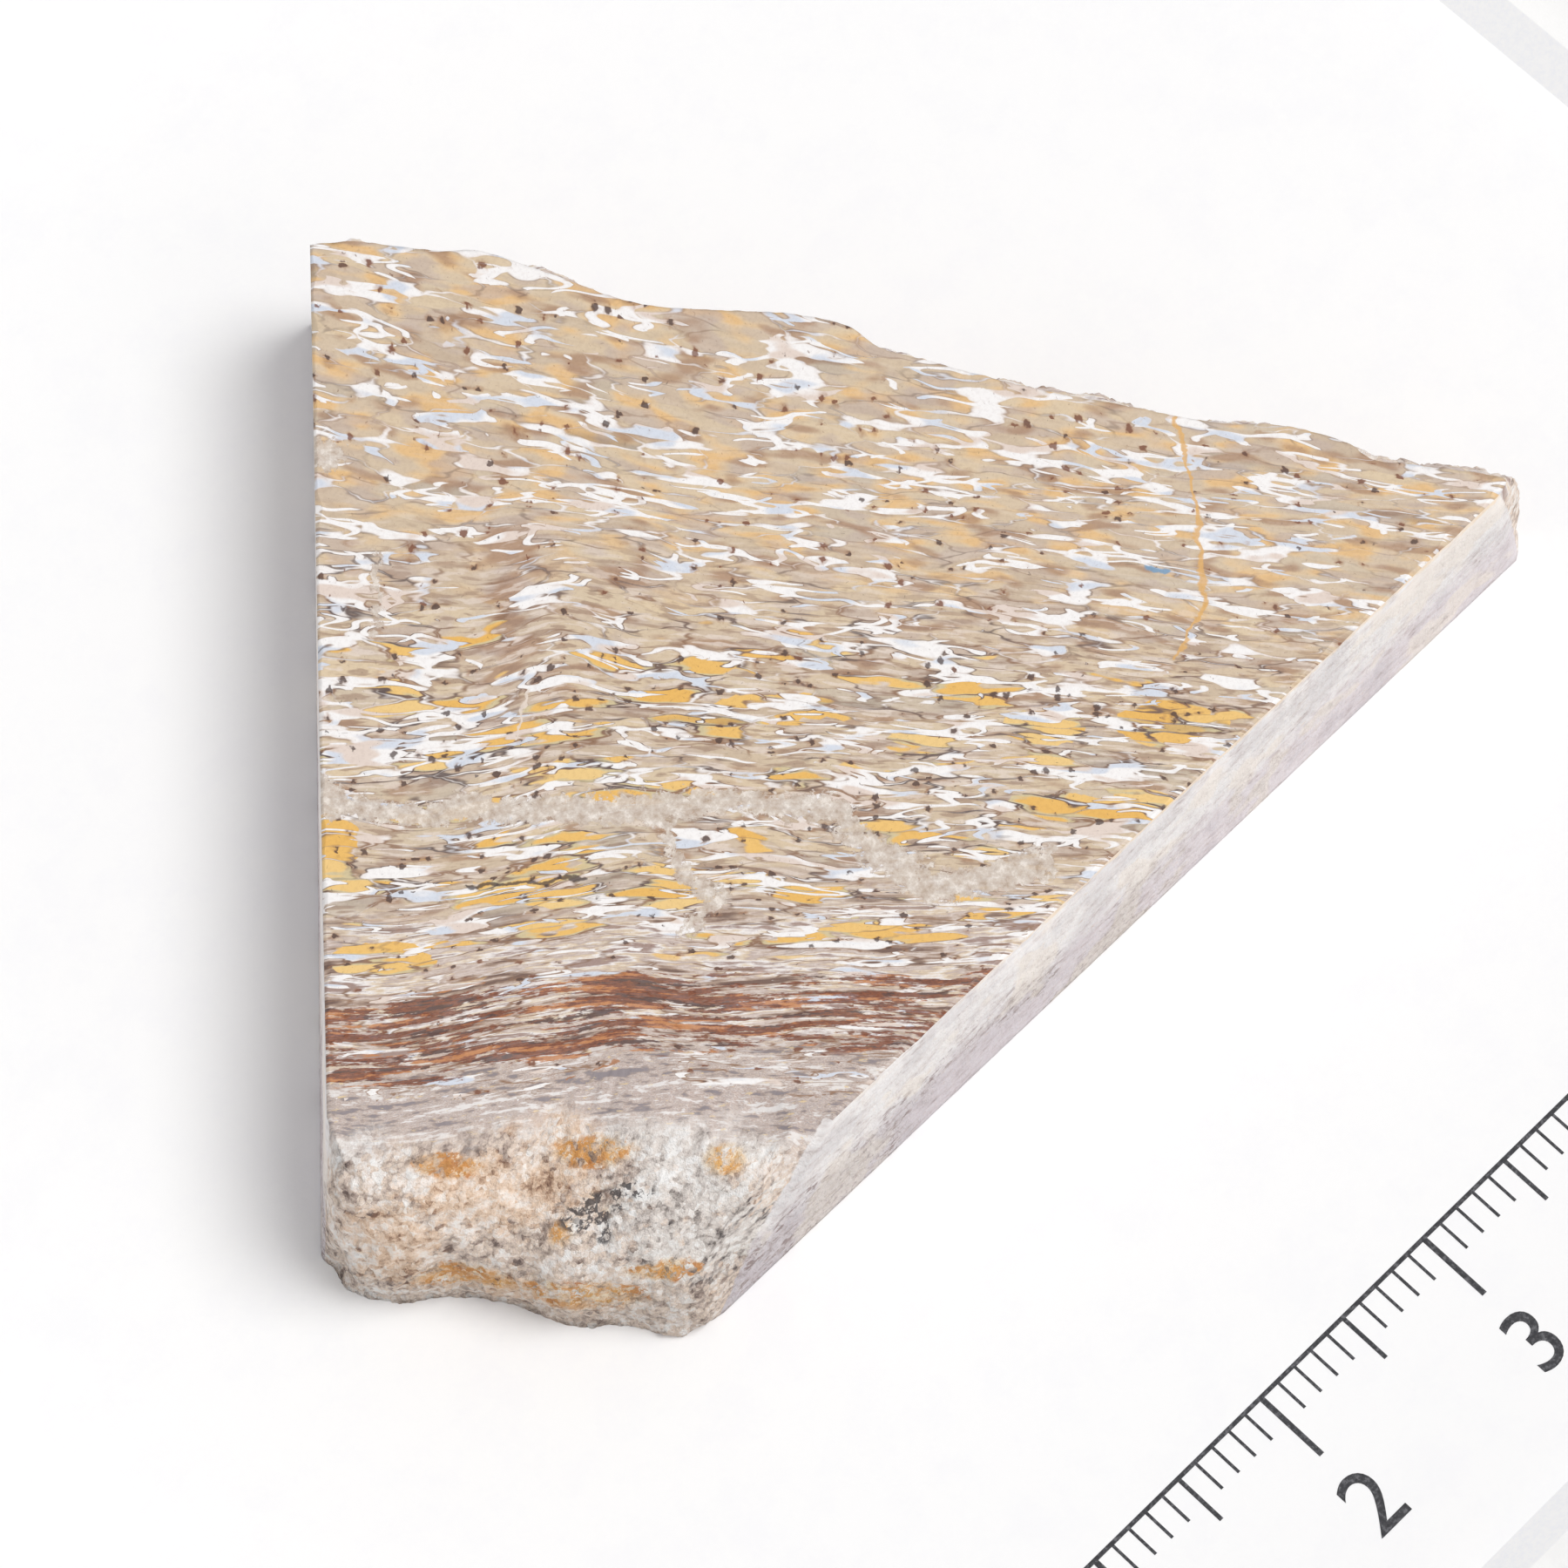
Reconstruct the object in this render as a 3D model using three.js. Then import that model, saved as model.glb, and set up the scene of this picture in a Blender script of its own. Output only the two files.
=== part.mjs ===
// A sawn slice of fossil bone, mounted on a white card behind a bevel-cut mat
// in a small square box frame that lies on its back.
//
// Millimetres. The origin is the middle of the frame's back, +Z points out of the
// picture side, +X is the card's reading direction and +Y is the card's top.

import * as THREE from 'three'

// ---- Driving dimensions ---------------------------------------------------

const FRAME_SIDE = 150
const FRAME_DEPTH = 20
const RAIL_WIDTH = 14
const RAIL_EDGE = 0.75 // chamfer on the rail's outer and sight edges
const REBATE_WIDTH = 6 // ledge of the rail that laps over the mat
const REBATE_DEPTH = 8 // from the back of the frame up to that ledge
const MITRE_GAP = 0.2 // hairline between two mitred rails

const MAT_THICKNESS = 1.25
const MAT_WINDOW = 100 // side of the window at the card
const MAT_BEVEL = 1.6 // width of the slanted cut round the window
const CARD_THICKNESS = 0.5
const BACKBOARD_THICKNESS = 3
const BOARD_CLEARANCE = 0.5 // free play between boards and rebate, per side

const CLIP_WIDTH = 6
const CLIP_LENGTH = 9
const CLIP_THICKNESS = 0.5
const CLIP_SEAT_GAP = 0.3 // clip to the wall of the rebate

const SLICE_THICKNESS = 8.5

// ---- Heights of the stack, worked out from the back of the frame ------------

const MAT_TOP = REBATE_DEPTH
const CARD_TOP = MAT_TOP - MAT_THICKNESS
const BACKBOARD_TOP = CARD_TOP - CARD_THICKNESS
const BACKBOARD_BACK = BACKBOARD_TOP - BACKBOARD_THICKNESS
const FRAME_HALF = FRAME_SIDE / 2
const REBATE_HALF = FRAME_HALF - RAIL_WIDTH + REBATE_WIDTH
const BOARD_SIDE = 2 * (REBATE_HALF - BOARD_CLEARANCE)

// ---- Materials --------------------------------------------------------------

const finish = (color, roughness, metalness = 0) =>
  new THREE.MeshStandardMaterial({ color, roughness, metalness })

const boneStone = finish('#c3a987', 0.45)
const whitePaint = finish('#f4f3f0', 0.5)
const matBoard = finish('#f3f3f4', 0.9)
const printCard = finish('#fafafa', 0.85)
const fibreBoard = finish('#9c7a55', 0.85)
const clipSteel = finish('#b9bbbd', 0.35, 1)

// ---- Lofting ------------------------------------------------------------------

// Joins equal loops of points into one closed body. A ring of sections closes on
// itself; otherwise the first and last loops are capped, using their flat outlines.
function loft(sections, { ring = false, capOutlines = [] } = {}) {
  const count = sections[0].length
  const positions = sections.flat().flatMap((point) => point.toArray())
  const triangles = []
  const spans = ring ? sections.length : sections.length - 1
  for (let span = 0; span < spans; span++) {
    const here = span * count
    const next = ((span + 1) % sections.length) * count
    for (let i = 0; i < count; i++) {
      const j = (i + 1) % count
      triangles.push([here + i, here + j, next + j], [here + i, next + j, next + i])
    }
  }
  capOutlines.forEach((outline, end) => {
    const base = end === 0 ? 0 : (sections.length - 1) * count
    for (const [a, b, c] of THREE.ShapeUtils.triangulateShape(outline, [])) {
      triangles.push(end === 0 ? [base + a, base + c, base + b] : [base + a, base + b, base + c])
    }
  })
  return facingOut(positions, triangles)
}

// Builds the geometry, turned inside out when its signed volume is negative.
function facingOut(positions, triangles) {
  const corner = (index) => new THREE.Vector3().fromArray(positions, 3 * index)
  const sixVolumes = triangles.reduce(
    (sum, [a, b, c]) => sum + corner(a).dot(corner(b).cross(corner(c))), 0)
  const ordered = sixVolumes > 0 ? triangles : triangles.map(([a, b, c]) => [a, c, b])
  const geometry = new THREE.BufferGeometry()
  geometry.setAttribute('position', new THREE.Float32BufferAttribute(positions, 3))
  geometry.setIndex(ordered.flat())
  geometry.computeVertexNormals()
  return geometry
}

// ---- Smooth, repeatable noise for broken stone ----------------------------------

const fract = (value) => value - Math.floor(value)
const mix = (a, b, t) => a + (b - a) * t
const ease = (t) => t * t * (3 - 2 * t)
const clamp01 = (value) => Math.min(1, Math.max(0, value))

function latticeValue(i, j, k) {
  return fract(Math.sin(i * 127.1 + j * 311.7 + k * 74.7) * 43758.5453)
}

// Value noise from -1 to 1 at a point in space.
function noise(x, y, z) {
  const [i, j, k] = [x, y, z].map(Math.floor)
  const [u, v, w] = [x - i, y - j, z - k].map(ease)
  const along = (dj, dk) => mix(latticeValue(i, j + dj, k + dk), latticeValue(i + 1, j + dj, k + dk), u)
  return 2 * mix(mix(along(0, 0), along(1, 0), v), mix(along(0, 1), along(1, 1), v), w) - 1
}

// ---- The bone slice ---------------------------------------------------------------

// The slice is a four-sided piece. Two sides are sawn and straight, and two are broken:
// the long far edge is chipped, and the short near end drops to the card as a rough slope.
// Each side is given by its line on the sawn top and its line at the foot, in card
// millimetres from the middle of the window, going round counter-clockwise. A broken side's
// lumps stand out or in by "lumps", and its whole face is set back by "hollow".
const SLICE_SIDES = [
  {
    name: 'left sawn side',
    steps: 26,
    broken: 0,
    top: [[1.7, 25.6], [-25.8, -4.6]],
    foot: [[1.9, 26.4], [-28.4, -6.2]],
  },
  {
    name: 'near broken end',
    steps: 56,
    broken: 1,
    lumps: 1,
    hollow: 0.15,
    top: [
      [-25.8, -4.6], [-26.6, -6.9], [-24.6, -9.1], [-22.1, -10.0], [-19.8, -10.3], [-17.7, -10.5],
      [-16.2, -11.2], [-14.6, -12.1], [-14.2, -14.2], [-12.2, -16.4], [-11.1, -19.4],
    ],
    foot: [
      [-28.4, -6.2], [-28.9, -7.4], [-28.8, -8.7], [-27.6, -10.4], [-26.4, -11.3], [-25.2, -12.6],
      [-24.3, -14.2], [-23.5, -16.2], [-21.7, -17.8], [-20.0, -19.5], [-18.2, -20.0],
    ],
  },
  {
    name: 'right sawn side',
    steps: 30,
    broken: 0,
    top: [[-11.1, -19.4], [29.0, -19.4]],
    foot: [[-18.2, -20.0], [31.3, -19.8]],
  },
  {
    name: 'far broken edge',
    steps: 100,
    broken: 1,
    lumps: 0.6,
    hollow: 0.4,
    top: [
      [29.0, -19.4], [30.1, -19.2], [29.6, -18.2], [27.9, -15.9], [26.8, -14.4], [26.6, -13.0],
      [25.3, -10.6], [23.4, -8.5], [21.3, -5.3], [19.2, -2.1], [16.9, 2.1], [15.7, 4.4],
      [15.4, 6.3], [13.9, 8.6], [11.4, 11.4], [10.2, 12.8], [9.2, 14.5], [7.6, 18.3],
      [6.7, 20.2], [5.4, 21.5], [3.0, 24.5], [1.7, 25.6],
    ],
    foot: [
      [31.3, -19.8], [32.4, -19.0], [31.2, -17.0], [29.0, -13.6], [27.2, -10.6], [24.8, -7.0],
      [20.8, -0.8], [18.0, 4.0], [15.8, 8.4], [12.4, 12.6], [10.6, 15.8], [8.8, 19.4],
      [6.6, 22.4], [3.9, 25.4], [1.9, 26.4],
    ],
  },
]

const LEVELS = 13 // rings of points from the sawn top to the foot
const UNDERCUT_TURN = 1.75 // a broken profile is an arc that turns a little past upright
const CORNER_BLEND = 3 // steps over which a sawn side turns into a broken one
const LUMP_SIZES = [4.2, 1.9, 1.0]
const LUMP_HEIGHTS = [0.55, 0.28, 0.12]
const RIM_SHARE = { top: 0.25, foot: 0.6 } // how much the first and last rings follow the lumps

// How far out of the top line, and how high, each as a share, at a level from 0 to 1.
const sawnProfile = (level) => ({ out: level, height: 1 - level })
const brokenProfile = (level) => {
  const turn = level * UNDERCUT_TURN
  const lowest = Math.cos(UNDERCUT_TURN)
  return { out: Math.sin(turn), height: (Math.cos(turn) - lowest) / (1 - lowest) }
}

// Points spaced evenly along a line of corner points: straight for a sawn side, and
// smoothed for a broken one. The last point is left to the next side.
function stepAlong(corners, steps, broken) {
  const points = corners.map(([x, y]) => new THREE.Vector2(x, y))
  const curve = broken ? new THREE.SplineCurve(points) : new THREE.LineCurve(...points)
  return Array.from({ length: steps }, (_, i) => curve.getPointAt(i / steps))
}

// Walks round the slice and gives, at each step, the top point, the foot point, how
// broken the side is there, from 0 (sawn) to 1, and its lumps and hollow.
function walkSlice() {
  return SLICE_SIDES.flatMap(({ steps, broken, lumps = 0, hollow = 0, top, foot }) => {
    const feet = stepAlong(foot, steps, broken)
    return stepAlong(top, steps, broken).map((topPoint, i) => {
      const share = broken * ease(clamp01(Math.min(i, steps - i) / CORNER_BLEND))
      return { top: topPoint, foot: feet[i], broken: share, lumps, hollow }
    })
  })
}

// Horizontal rings from the sawn top down to the foot, with the broken sides made lumpy.
function sliceRings() {
  const walk = walkSlice()
  const rings = Array.from({ length: LEVELS }, (_, ring) => {
    const level = ring / (LEVELS - 1)
    const sawn = sawnProfile(level)
    const rough = brokenProfile(level)
    return walk.map(({ top, foot, broken }) => {
      const plan = top.clone().lerp(foot, mix(sawn.out, rough.out, broken))
      return new THREE.Vector3(plan.x, plan.y, mix(sawn.height, rough.height, broken) * SLICE_THICKNESS)
    })
  })
  return rings.map((ring, level) => ring.map((point, i) => {
    const { broken, lumps, hollow } = walk[i]
    const push = (lumps * lumpAt(point) - hollow) * broken
    return point.clone().addScaledVector(outwardAt(rings, level, i), push)
  }))
}

function lumpAt({ x, y, z }) {
  return LUMP_SIZES.reduce((sum, size, octave) =>
    sum + LUMP_HEIGHTS[octave] * noise(x / size, y / size, z / size + 7 * octave), 0)
}

// The direction that a broken face is pushed in. The top and foot rings stay level.
function outwardAt(rings, level, i) {
  const ring = rings[level]
  const count = ring.length
  const along = ring[(i + 1) % count].clone().sub(ring[(i + count - 1) % count])
  const above = rings[Math.max(level - 1, 0)][i]
  const below = rings[Math.min(level + 1, LEVELS - 1)][i]
  const normal = along.cross(above.clone().sub(below)).normalize()
  const rim = { 0: RIM_SHARE.top, [LEVELS - 1]: RIM_SHARE.foot }[level]
  if (rim) {
    normal.z = 0
    normal.multiplyScalar(rim)
  }
  return normal
}

function boneSlice() {
  const rings = sliceRings()
  const flat = (ring) => ring.map((point) => new THREE.Vector2(point.x, point.y))
  const geometry = loft(rings, { capOutlines: [flat(rings[0]), flat(rings.at(-1))] })
  const mesh = new THREE.Mesh(geometry, boneStone)
  mesh.position.z = CARD_TOP
  return mesh
}

// ---- The frame ------------------------------------------------------------------------

// Rail section: distance in from the frame's outer edge, and height above its back.
const RAIL_SECTION = [
  [0, RAIL_EDGE],
  [RAIL_EDGE, 0],
  [RAIL_WIDTH - REBATE_WIDTH, 0],
  [RAIL_WIDTH - REBATE_WIDTH, REBATE_DEPTH],
  [RAIL_WIDTH, REBATE_DEPTH],
  [RAIL_WIDTH, FRAME_DEPTH - RAIL_EDGE],
  [RAIL_WIDTH - RAIL_EDGE, FRAME_DEPTH],
  [RAIL_EDGE, FRAME_DEPTH],
  [0, FRAME_DEPTH - RAIL_EDGE],
]

// One rail along X at the frame's lower side, its ends cut at 45 degrees.
function mitredRail() {
  const ends = [-1, 1].map((side) => RAIL_SECTION.map(([inset, height]) => {
    const reach = FRAME_HALF - inset - MITRE_GAP / Math.SQRT2
    return new THREE.Vector3(side * reach, inset - FRAME_HALF, height)
  }))
  const outline = RAIL_SECTION.map(([inset, height]) => new THREE.Vector2(inset, height))
  return loft(ends, { capOutlines: [outline, outline] })
}

// The mat is a square band: outer back, outer front, window front, window back.
function windowMat() {
  const loops = [
    [BOARD_SIDE / 2, CARD_TOP],
    [BOARD_SIDE / 2, MAT_TOP],
    [MAT_WINDOW / 2 + MAT_BEVEL, MAT_TOP],
    [MAT_WINDOW / 2, CARD_TOP],
  ].map(([half, z]) => [[-1, -1], [1, -1], [1, 1], [-1, 1]].map(
    ([x, y]) => new THREE.Vector3(x * half, y * half, z)))
  return loft(loops, { ring: true })
}

function board(thickness, top) {
  const geometry = new THREE.BoxGeometry(BOARD_SIDE, BOARD_SIDE, thickness)
  geometry.translate(0, 0, top - thickness / 2)
  return geometry
}

// A flat steel point that comes out of the rebate's wall and lies on the backboard:
// a strip with a rounded tip, drawn here for the lower rail.
function backClip() {
  const half = CLIP_WIDTH / 2
  const root = CLIP_SEAT_GAP - REBATE_HALF
  const outline = new THREE.Shape()
  outline.moveTo(-half, root)
  outline.lineTo(half, root)
  outline.lineTo(half, root + CLIP_LENGTH - half)
  outline.absarc(0, root + CLIP_LENGTH - half, half, 0, Math.PI)
  outline.closePath()
  const options = { depth: CLIP_THICKNESS, bevelEnabled: false, curveSegments: 8 }
  const geometry = new THREE.ExtrudeGeometry(outline, options)
  geometry.translate(0, 0, BACKBOARD_BACK - CLIP_THICKNESS)
  return geometry
}

// ---- Assembly ------------------------------------------------------------------------------

const SIDE_NAMES = ['bottom', 'right', 'top', 'left'] // quarter turns from the lower side

function named(name, mesh) {
  mesh.name = name
  return mesh
}

const framedSlice = new THREE.Group()
framedSlice.add(named('bone_slice', boneSlice()))
framedSlice.add(named('card', new THREE.Mesh(board(CARD_THICKNESS, CARD_TOP), printCard)))
framedSlice.add(named('mat', new THREE.Mesh(windowMat(), matBoard)))
framedSlice.add(named('backboard', new THREE.Mesh(board(BACKBOARD_THICKNESS, BACKBOARD_TOP), fibreBoard)))
SIDE_NAMES.forEach((side, quarter) => {
  const turn = new THREE.Group()
  turn.rotation.z = quarter * Math.PI / 2
  turn.add(named(`rail_${side}`, new THREE.Mesh(mitredRail(), whitePaint)))
  turn.add(named(`clip_${side}`, new THREE.Mesh(backClip(), clipSteel)))
  framedSlice.add(turn)
})

export default framedSlice
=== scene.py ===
# %% [markdown]
# # A framed slice of fossil bone
#
# A sawn slice of fossil bone lies on a white card in a small white box frame. The CAD model already
# holds the right sizes and places, so this lesson loads it first and dresses it: the stone gets a finer
# mesh and a finish made of nodes, the frame gets softer edges, and the card gets a printed ruler.

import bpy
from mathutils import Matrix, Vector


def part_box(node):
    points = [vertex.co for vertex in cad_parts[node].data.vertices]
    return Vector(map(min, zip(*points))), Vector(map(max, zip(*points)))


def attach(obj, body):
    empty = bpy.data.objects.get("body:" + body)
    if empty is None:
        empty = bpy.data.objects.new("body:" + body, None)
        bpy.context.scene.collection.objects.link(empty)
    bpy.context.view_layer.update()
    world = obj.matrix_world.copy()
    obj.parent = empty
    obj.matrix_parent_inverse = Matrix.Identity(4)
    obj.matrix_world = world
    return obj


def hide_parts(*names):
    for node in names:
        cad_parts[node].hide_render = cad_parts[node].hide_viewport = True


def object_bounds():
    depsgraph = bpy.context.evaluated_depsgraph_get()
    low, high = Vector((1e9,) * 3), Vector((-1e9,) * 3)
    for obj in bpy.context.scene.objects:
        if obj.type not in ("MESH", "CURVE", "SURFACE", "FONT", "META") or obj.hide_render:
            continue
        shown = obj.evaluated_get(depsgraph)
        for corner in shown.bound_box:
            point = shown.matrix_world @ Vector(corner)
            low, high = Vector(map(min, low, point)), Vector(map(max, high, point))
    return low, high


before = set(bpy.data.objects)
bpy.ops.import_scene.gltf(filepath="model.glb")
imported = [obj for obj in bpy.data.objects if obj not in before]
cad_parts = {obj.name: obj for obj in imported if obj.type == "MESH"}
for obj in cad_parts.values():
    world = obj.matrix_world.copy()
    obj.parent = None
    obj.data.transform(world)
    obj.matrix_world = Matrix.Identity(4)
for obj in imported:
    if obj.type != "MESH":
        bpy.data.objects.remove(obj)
cad_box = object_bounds()
print("CAD nodes:", sorted(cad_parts))

# %% [markdown]
# ## Units and the card's grain directions
#
# Blender works in metres here, but the slice is easier to describe in millimetres. Its height is read
# from the box of the CAD slice, which ends at that model's highest lump. The layers of the bone run at
# 45 degrees across the card, so two more words are used: "along" is the direction of the layers and
# "across" goes from one layer to the next.

# %% Units and measures
import math

import bmesh
import bpy
import numpy as np
from mathutils import Vector, geometry, noise

MM = 0.001
CARD_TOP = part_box("card")[1].z / MM
SLICE_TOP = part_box("bone_slice")[1].z / MM
SLICE_THICKNESS = SLICE_TOP - CARD_TOP
FRAME_CORNER = cad_box[1] / MM
FRAME_HALF = FRAME_CORNER.x
FRAME_DEPTH = FRAME_CORNER.z
print(f"slice {SLICE_THICKNESS:.2f} mm thick, its sawn top {SLICE_TOP:.2f} mm above the frame's back")

# %% [markdown]
# ## The camera
#
# The view looks down on one corner of the frame through a long lens, as in close-up product work.
# A camera can be aimed with a constraint, but placing it at a known distance along a known direction
# keeps every number visible, so that way is used.

# %% Camera
AZIMUTH = math.radians(-45)
ELEVATION = math.radians(65.8)
AIM = Vector((0.792, -4.586, 6.75)) * MM
DISTANCE = 284.09 * MM

towards_camera = Vector((
    math.sin(AZIMUTH) * math.cos(ELEVATION),
    -math.cos(AZIMUTH) * math.cos(ELEVATION),
    math.sin(ELEVATION),
))
camera = bpy.data.objects.new("camera", bpy.data.cameras.new("camera"))
camera.data.lens = 150
camera.data.sensor_width = 36
camera.data.clip_start = 0.01
camera.location = AIM + towards_camera * DISTANCE
camera.rotation_euler = (-towards_camera).to_track_quat("-Z", "Y").to_euler()
bpy.context.scene.collection.objects.link(camera)
bpy.context.scene.camera = camera
print("camera at", [round(value / MM) for value in camera.location], "mm")

# %% [markdown]
# ## Light and backdrop
#
# The object is shown in high key: white card, soft shadow, no hard glare. One wide sun gives the soft
# shadow, and its angle sets how soft the shadow is. A weak second one, low at the right, lights the
# sawn side, and a nearly white world fills the shadow. The plain "Standard" view keeps whites white,
# where a film-like view would turn them grey.

# %% Light and backdrop
SUNS = {  # where from, strength, and softness in degrees
    "soft_sun": ((0.361, -0.307, 0.881), 1.72, 33),
    "low_fill": ((0.1, -0.89, 0.44), 0.34, 45),
}
SUN_WHITE = (1.0, 0.995, 0.985)
WORLD_WHITE = (0.985, 0.98, 1.0)
WORLD_STRENGTH = 0.47

for name, (towards, strength, softness) in SUNS.items():
    sun = bpy.data.objects.new(name, bpy.data.lights.new(name, "SUN"))
    sun.data.energy = strength
    sun.data.angle = math.radians(softness)
    sun.data.color = SUN_WHITE
    sun.rotation_euler = Vector(towards).to_track_quat("Z", "Y").to_euler()
    bpy.context.scene.collection.objects.link(sun)

world = bpy.data.worlds.new("soft_white")
world.use_nodes = True
backdrop = world.node_tree.nodes["Background"]
backdrop.inputs["Color"].default_value = (*WORLD_WHITE, 1)
backdrop.inputs["Strength"].default_value = WORLD_STRENGTH
bpy.context.scene.world = world
bpy.context.scene.view_settings.view_transform = "Standard"
print("lights:", [item.name for item in bpy.data.lights])

# %% [markdown]
# ## Helpers for finishes
#
# A finish is a chain of nodes: a place in space goes in at one end, and a colour, a roughness and a
# bump come out at the other. Written out one by one the nodes are hard to read, so a small class makes
# a node and wires its inputs in one call. What comes out of a node is kept as a signal. Signals can be
# added and multiplied with the usual signs, so that sums of nodes read like sums of numbers.

# %% Colours
def tint(red, green, blue):
    """A colour given as 0 to 255 on screen, turned into the linear values that a shader wants."""
    return tuple((value / 255) ** 2.2 for value in (red, green, blue)) + (1.0,)


print(f"half bright on screen, 128, is only {tint(128, 128, 128)[0]:.2f} of white to a shader")


# %% Signals
class Signal:
    """What comes out of a node. Each sign between two signals makes one Math node."""

    def __init__(self, finish, socket):
        self.finish = finish
        self.socket = socket

    def beside(self, name):
        """Another output of the same node."""
        return Signal(self.finish, self.socket.node.outputs[name])

    def __add__(self, other):
        return self.finish.math("ADD", self, other)

    def __sub__(self, other):
        return self.finish.math("SUBTRACT", self, other)

    def __rsub__(self, other):
        return self.finish.math("SUBTRACT", other, self)

    def __mul__(self, other):
        return self.finish.math("MULTIPLY", self, other)

    def __abs__(self):
        return self.finish.math("ABSOLUTE", self)

    __radd__ = __add__
    __rmul__ = __mul__


def largest(first, second):
    return first.finish.math("MAXIMUM", first, second)


def smallest(first, second):
    return first.finish.math("MINIMUM", first, second)


def fade(signal, start, end):
    """0 at start and beyond, 1 at end and beyond, eased in between."""
    inputs = {"Value": signal, "From Min": start, "From Max": end}
    return signal.finish.node("MapRange", inputs, interpolation_type="SMOOTHSTEP")


def ramp(signal, stops):
    """A colour picked by the signal from a row of colours, each at its own position."""
    color = signal.finish.node("ValToRGB", {"Fac": signal}, output="Color")
    elements = color.socket.node.color_ramp.elements
    while len(elements) < len(stops):
        elements.new(0.5)
    for element, (position, stop_color) in zip(elements, stops):
        element.position = position
        element.color = stop_color
    return color


# %% The node helper
class Finish:
    """A node material that is built up step by step."""

    def __init__(self, name):
        self.material = bpy.data.materials.new(name)
        self.material.use_nodes = True
        self.tree = self.material.node_tree
        self.shader = self.tree.nodes["Principled BSDF"]

    def node(self, kind, inputs, output=0, **settings):
        made = self.tree.nodes.new("ShaderNode" + kind)
        for name, value in settings.items():
            setattr(made, name, value)
        for key, value in inputs.items():
            self.feed(made.inputs[key], value)
        return Signal(self, made.outputs[output])

    def feed(self, socket, value):
        if isinstance(value, Signal):
            self.tree.links.new(value.socket, socket)
        else:
            socket.default_value = value

    def scaled(self, vector, scale, turn=0.0):
        """A place turned about the vertical and then made larger along each axis."""
        return self.node("Mapping", {"Vector": vector, "Rotation": (0, 0, turn), "Scale": scale})

    def place(self, turn=0.0):
        """The point being shaded, in millimetres, with the axes turned about the vertical."""
        return self.scaled(self.node("TexCoord", {}, output="Object"), (1 / MM,) * 3, turn)

    def math(self, operation, *values, clamp=False):
        return self.node("Math", dict(enumerate(values)), operation=operation, use_clamp=clamp)

    def vector_math(self, operation, *vectors, output="Vector"):
        return self.node("VectorMath", dict(enumerate(vectors)), output=output, operation=operation)

    def split(self, vector):
        """Three numbers from a place or a colour."""
        first = self.node("SeparateXYZ", {0: vector})
        return first, first.beside("Y"), first.beside("Z")

    def join(self, x, y, z):
        return self.node("CombineXYZ", {"X": x, "Y": y, "Z": z})

    def stretched(self, x, y, z, lengths):
        """A place whose features come out as long as the three lengths, in millimetres."""
        return self.join(*(self.math("DIVIDE", *pair) for pair in zip((x, y, z), lengths)))

    def mix(self, amount, first, second, blend="MIX"):
        inputs = {0: amount, 6: first, 7: second}
        return self.node("Mix", inputs, output=2, data_type="RGBA", blend_type=blend)

    def coats(self, color, *more_colors):
        """Colours laid over the first one, each given as how much of it there is, and the colour."""
        for amount, coat in more_colors:
            color = self.mix(amount, color, coat)
        return color

    def cloud(self, vector, scale=1.0, detail=2.0, roughness=0.5, output=0, flat=False):
        """Noise. Where only two directions matter, a flat cloud takes half the time."""
        inputs = {"Vector": vector, "Scale": scale, "Detail": detail, "Roughness": roughness}
        return self.node("TexNoise", inputs, output=output, noise_dimensions="2D" if flat else "3D")

    def three_clouds(self, vector, **settings):
        """Three clouds that don't depend on each other, for the price of one node."""
        return self.split(self.cloud(vector, output="Color", **settings))

    def cells(self, vector, output="Distance", feature="F1", flat=False, smoothness=None):
        inputs = {"Vector": vector, "Scale": 1.0}
        if smoothness is not None:
            inputs["Smoothness"] = smoothness
        return self.node("TexVoronoi", inputs, output=output, feature=feature,
                         voronoi_dimensions="2D" if flat else "3D")

    def bent(self, vector, scale, amount, detail=1.0, flat=False):
        """A place pushed about by a cloud, so that straight things come out wavy."""
        push = self.cloud(vector, scale=scale, detail=detail, output="Color", flat=flat)
        centred = self.vector_math("SUBTRACT", push, (0.5, 0.5, 0.5))
        sized = self.vector_math("MULTIPLY", centred, amount)
        return self.vector_math("ADD", vector, sized)

    def bump(self, height, distance, strength=1.0, below=None):
        """Distance is in millimetres. A bump can be laid over one that is already there."""
        inputs = {"Height": height, "Distance": distance * MM, "Strength": strength}
        if below is not None:
            inputs["Normal"] = below
        return self.node("Bump", inputs)

    def finish(self, color, roughness, normal=None):
        self.feed(self.shader.inputs["Base Color"], color)
        self.feed(self.shader.inputs["Roughness"], roughness)
        if normal is not None:
            self.feed(self.shader.inputs["Normal"], normal)
        return self.material


# %% [markdown]
# ## The shape of the slice
#
# The slice has four sides: two are sawn straight, and two are broken. Its shape is known from two
# lines for each side, one round the sawn top and one round the foot on the card. Walking round both
# lines together and joining them level by level gives a closed wall, which is quick to build and has
# even faces. Sculpting by hand would also work, but it could not be repeated exactly.

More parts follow.
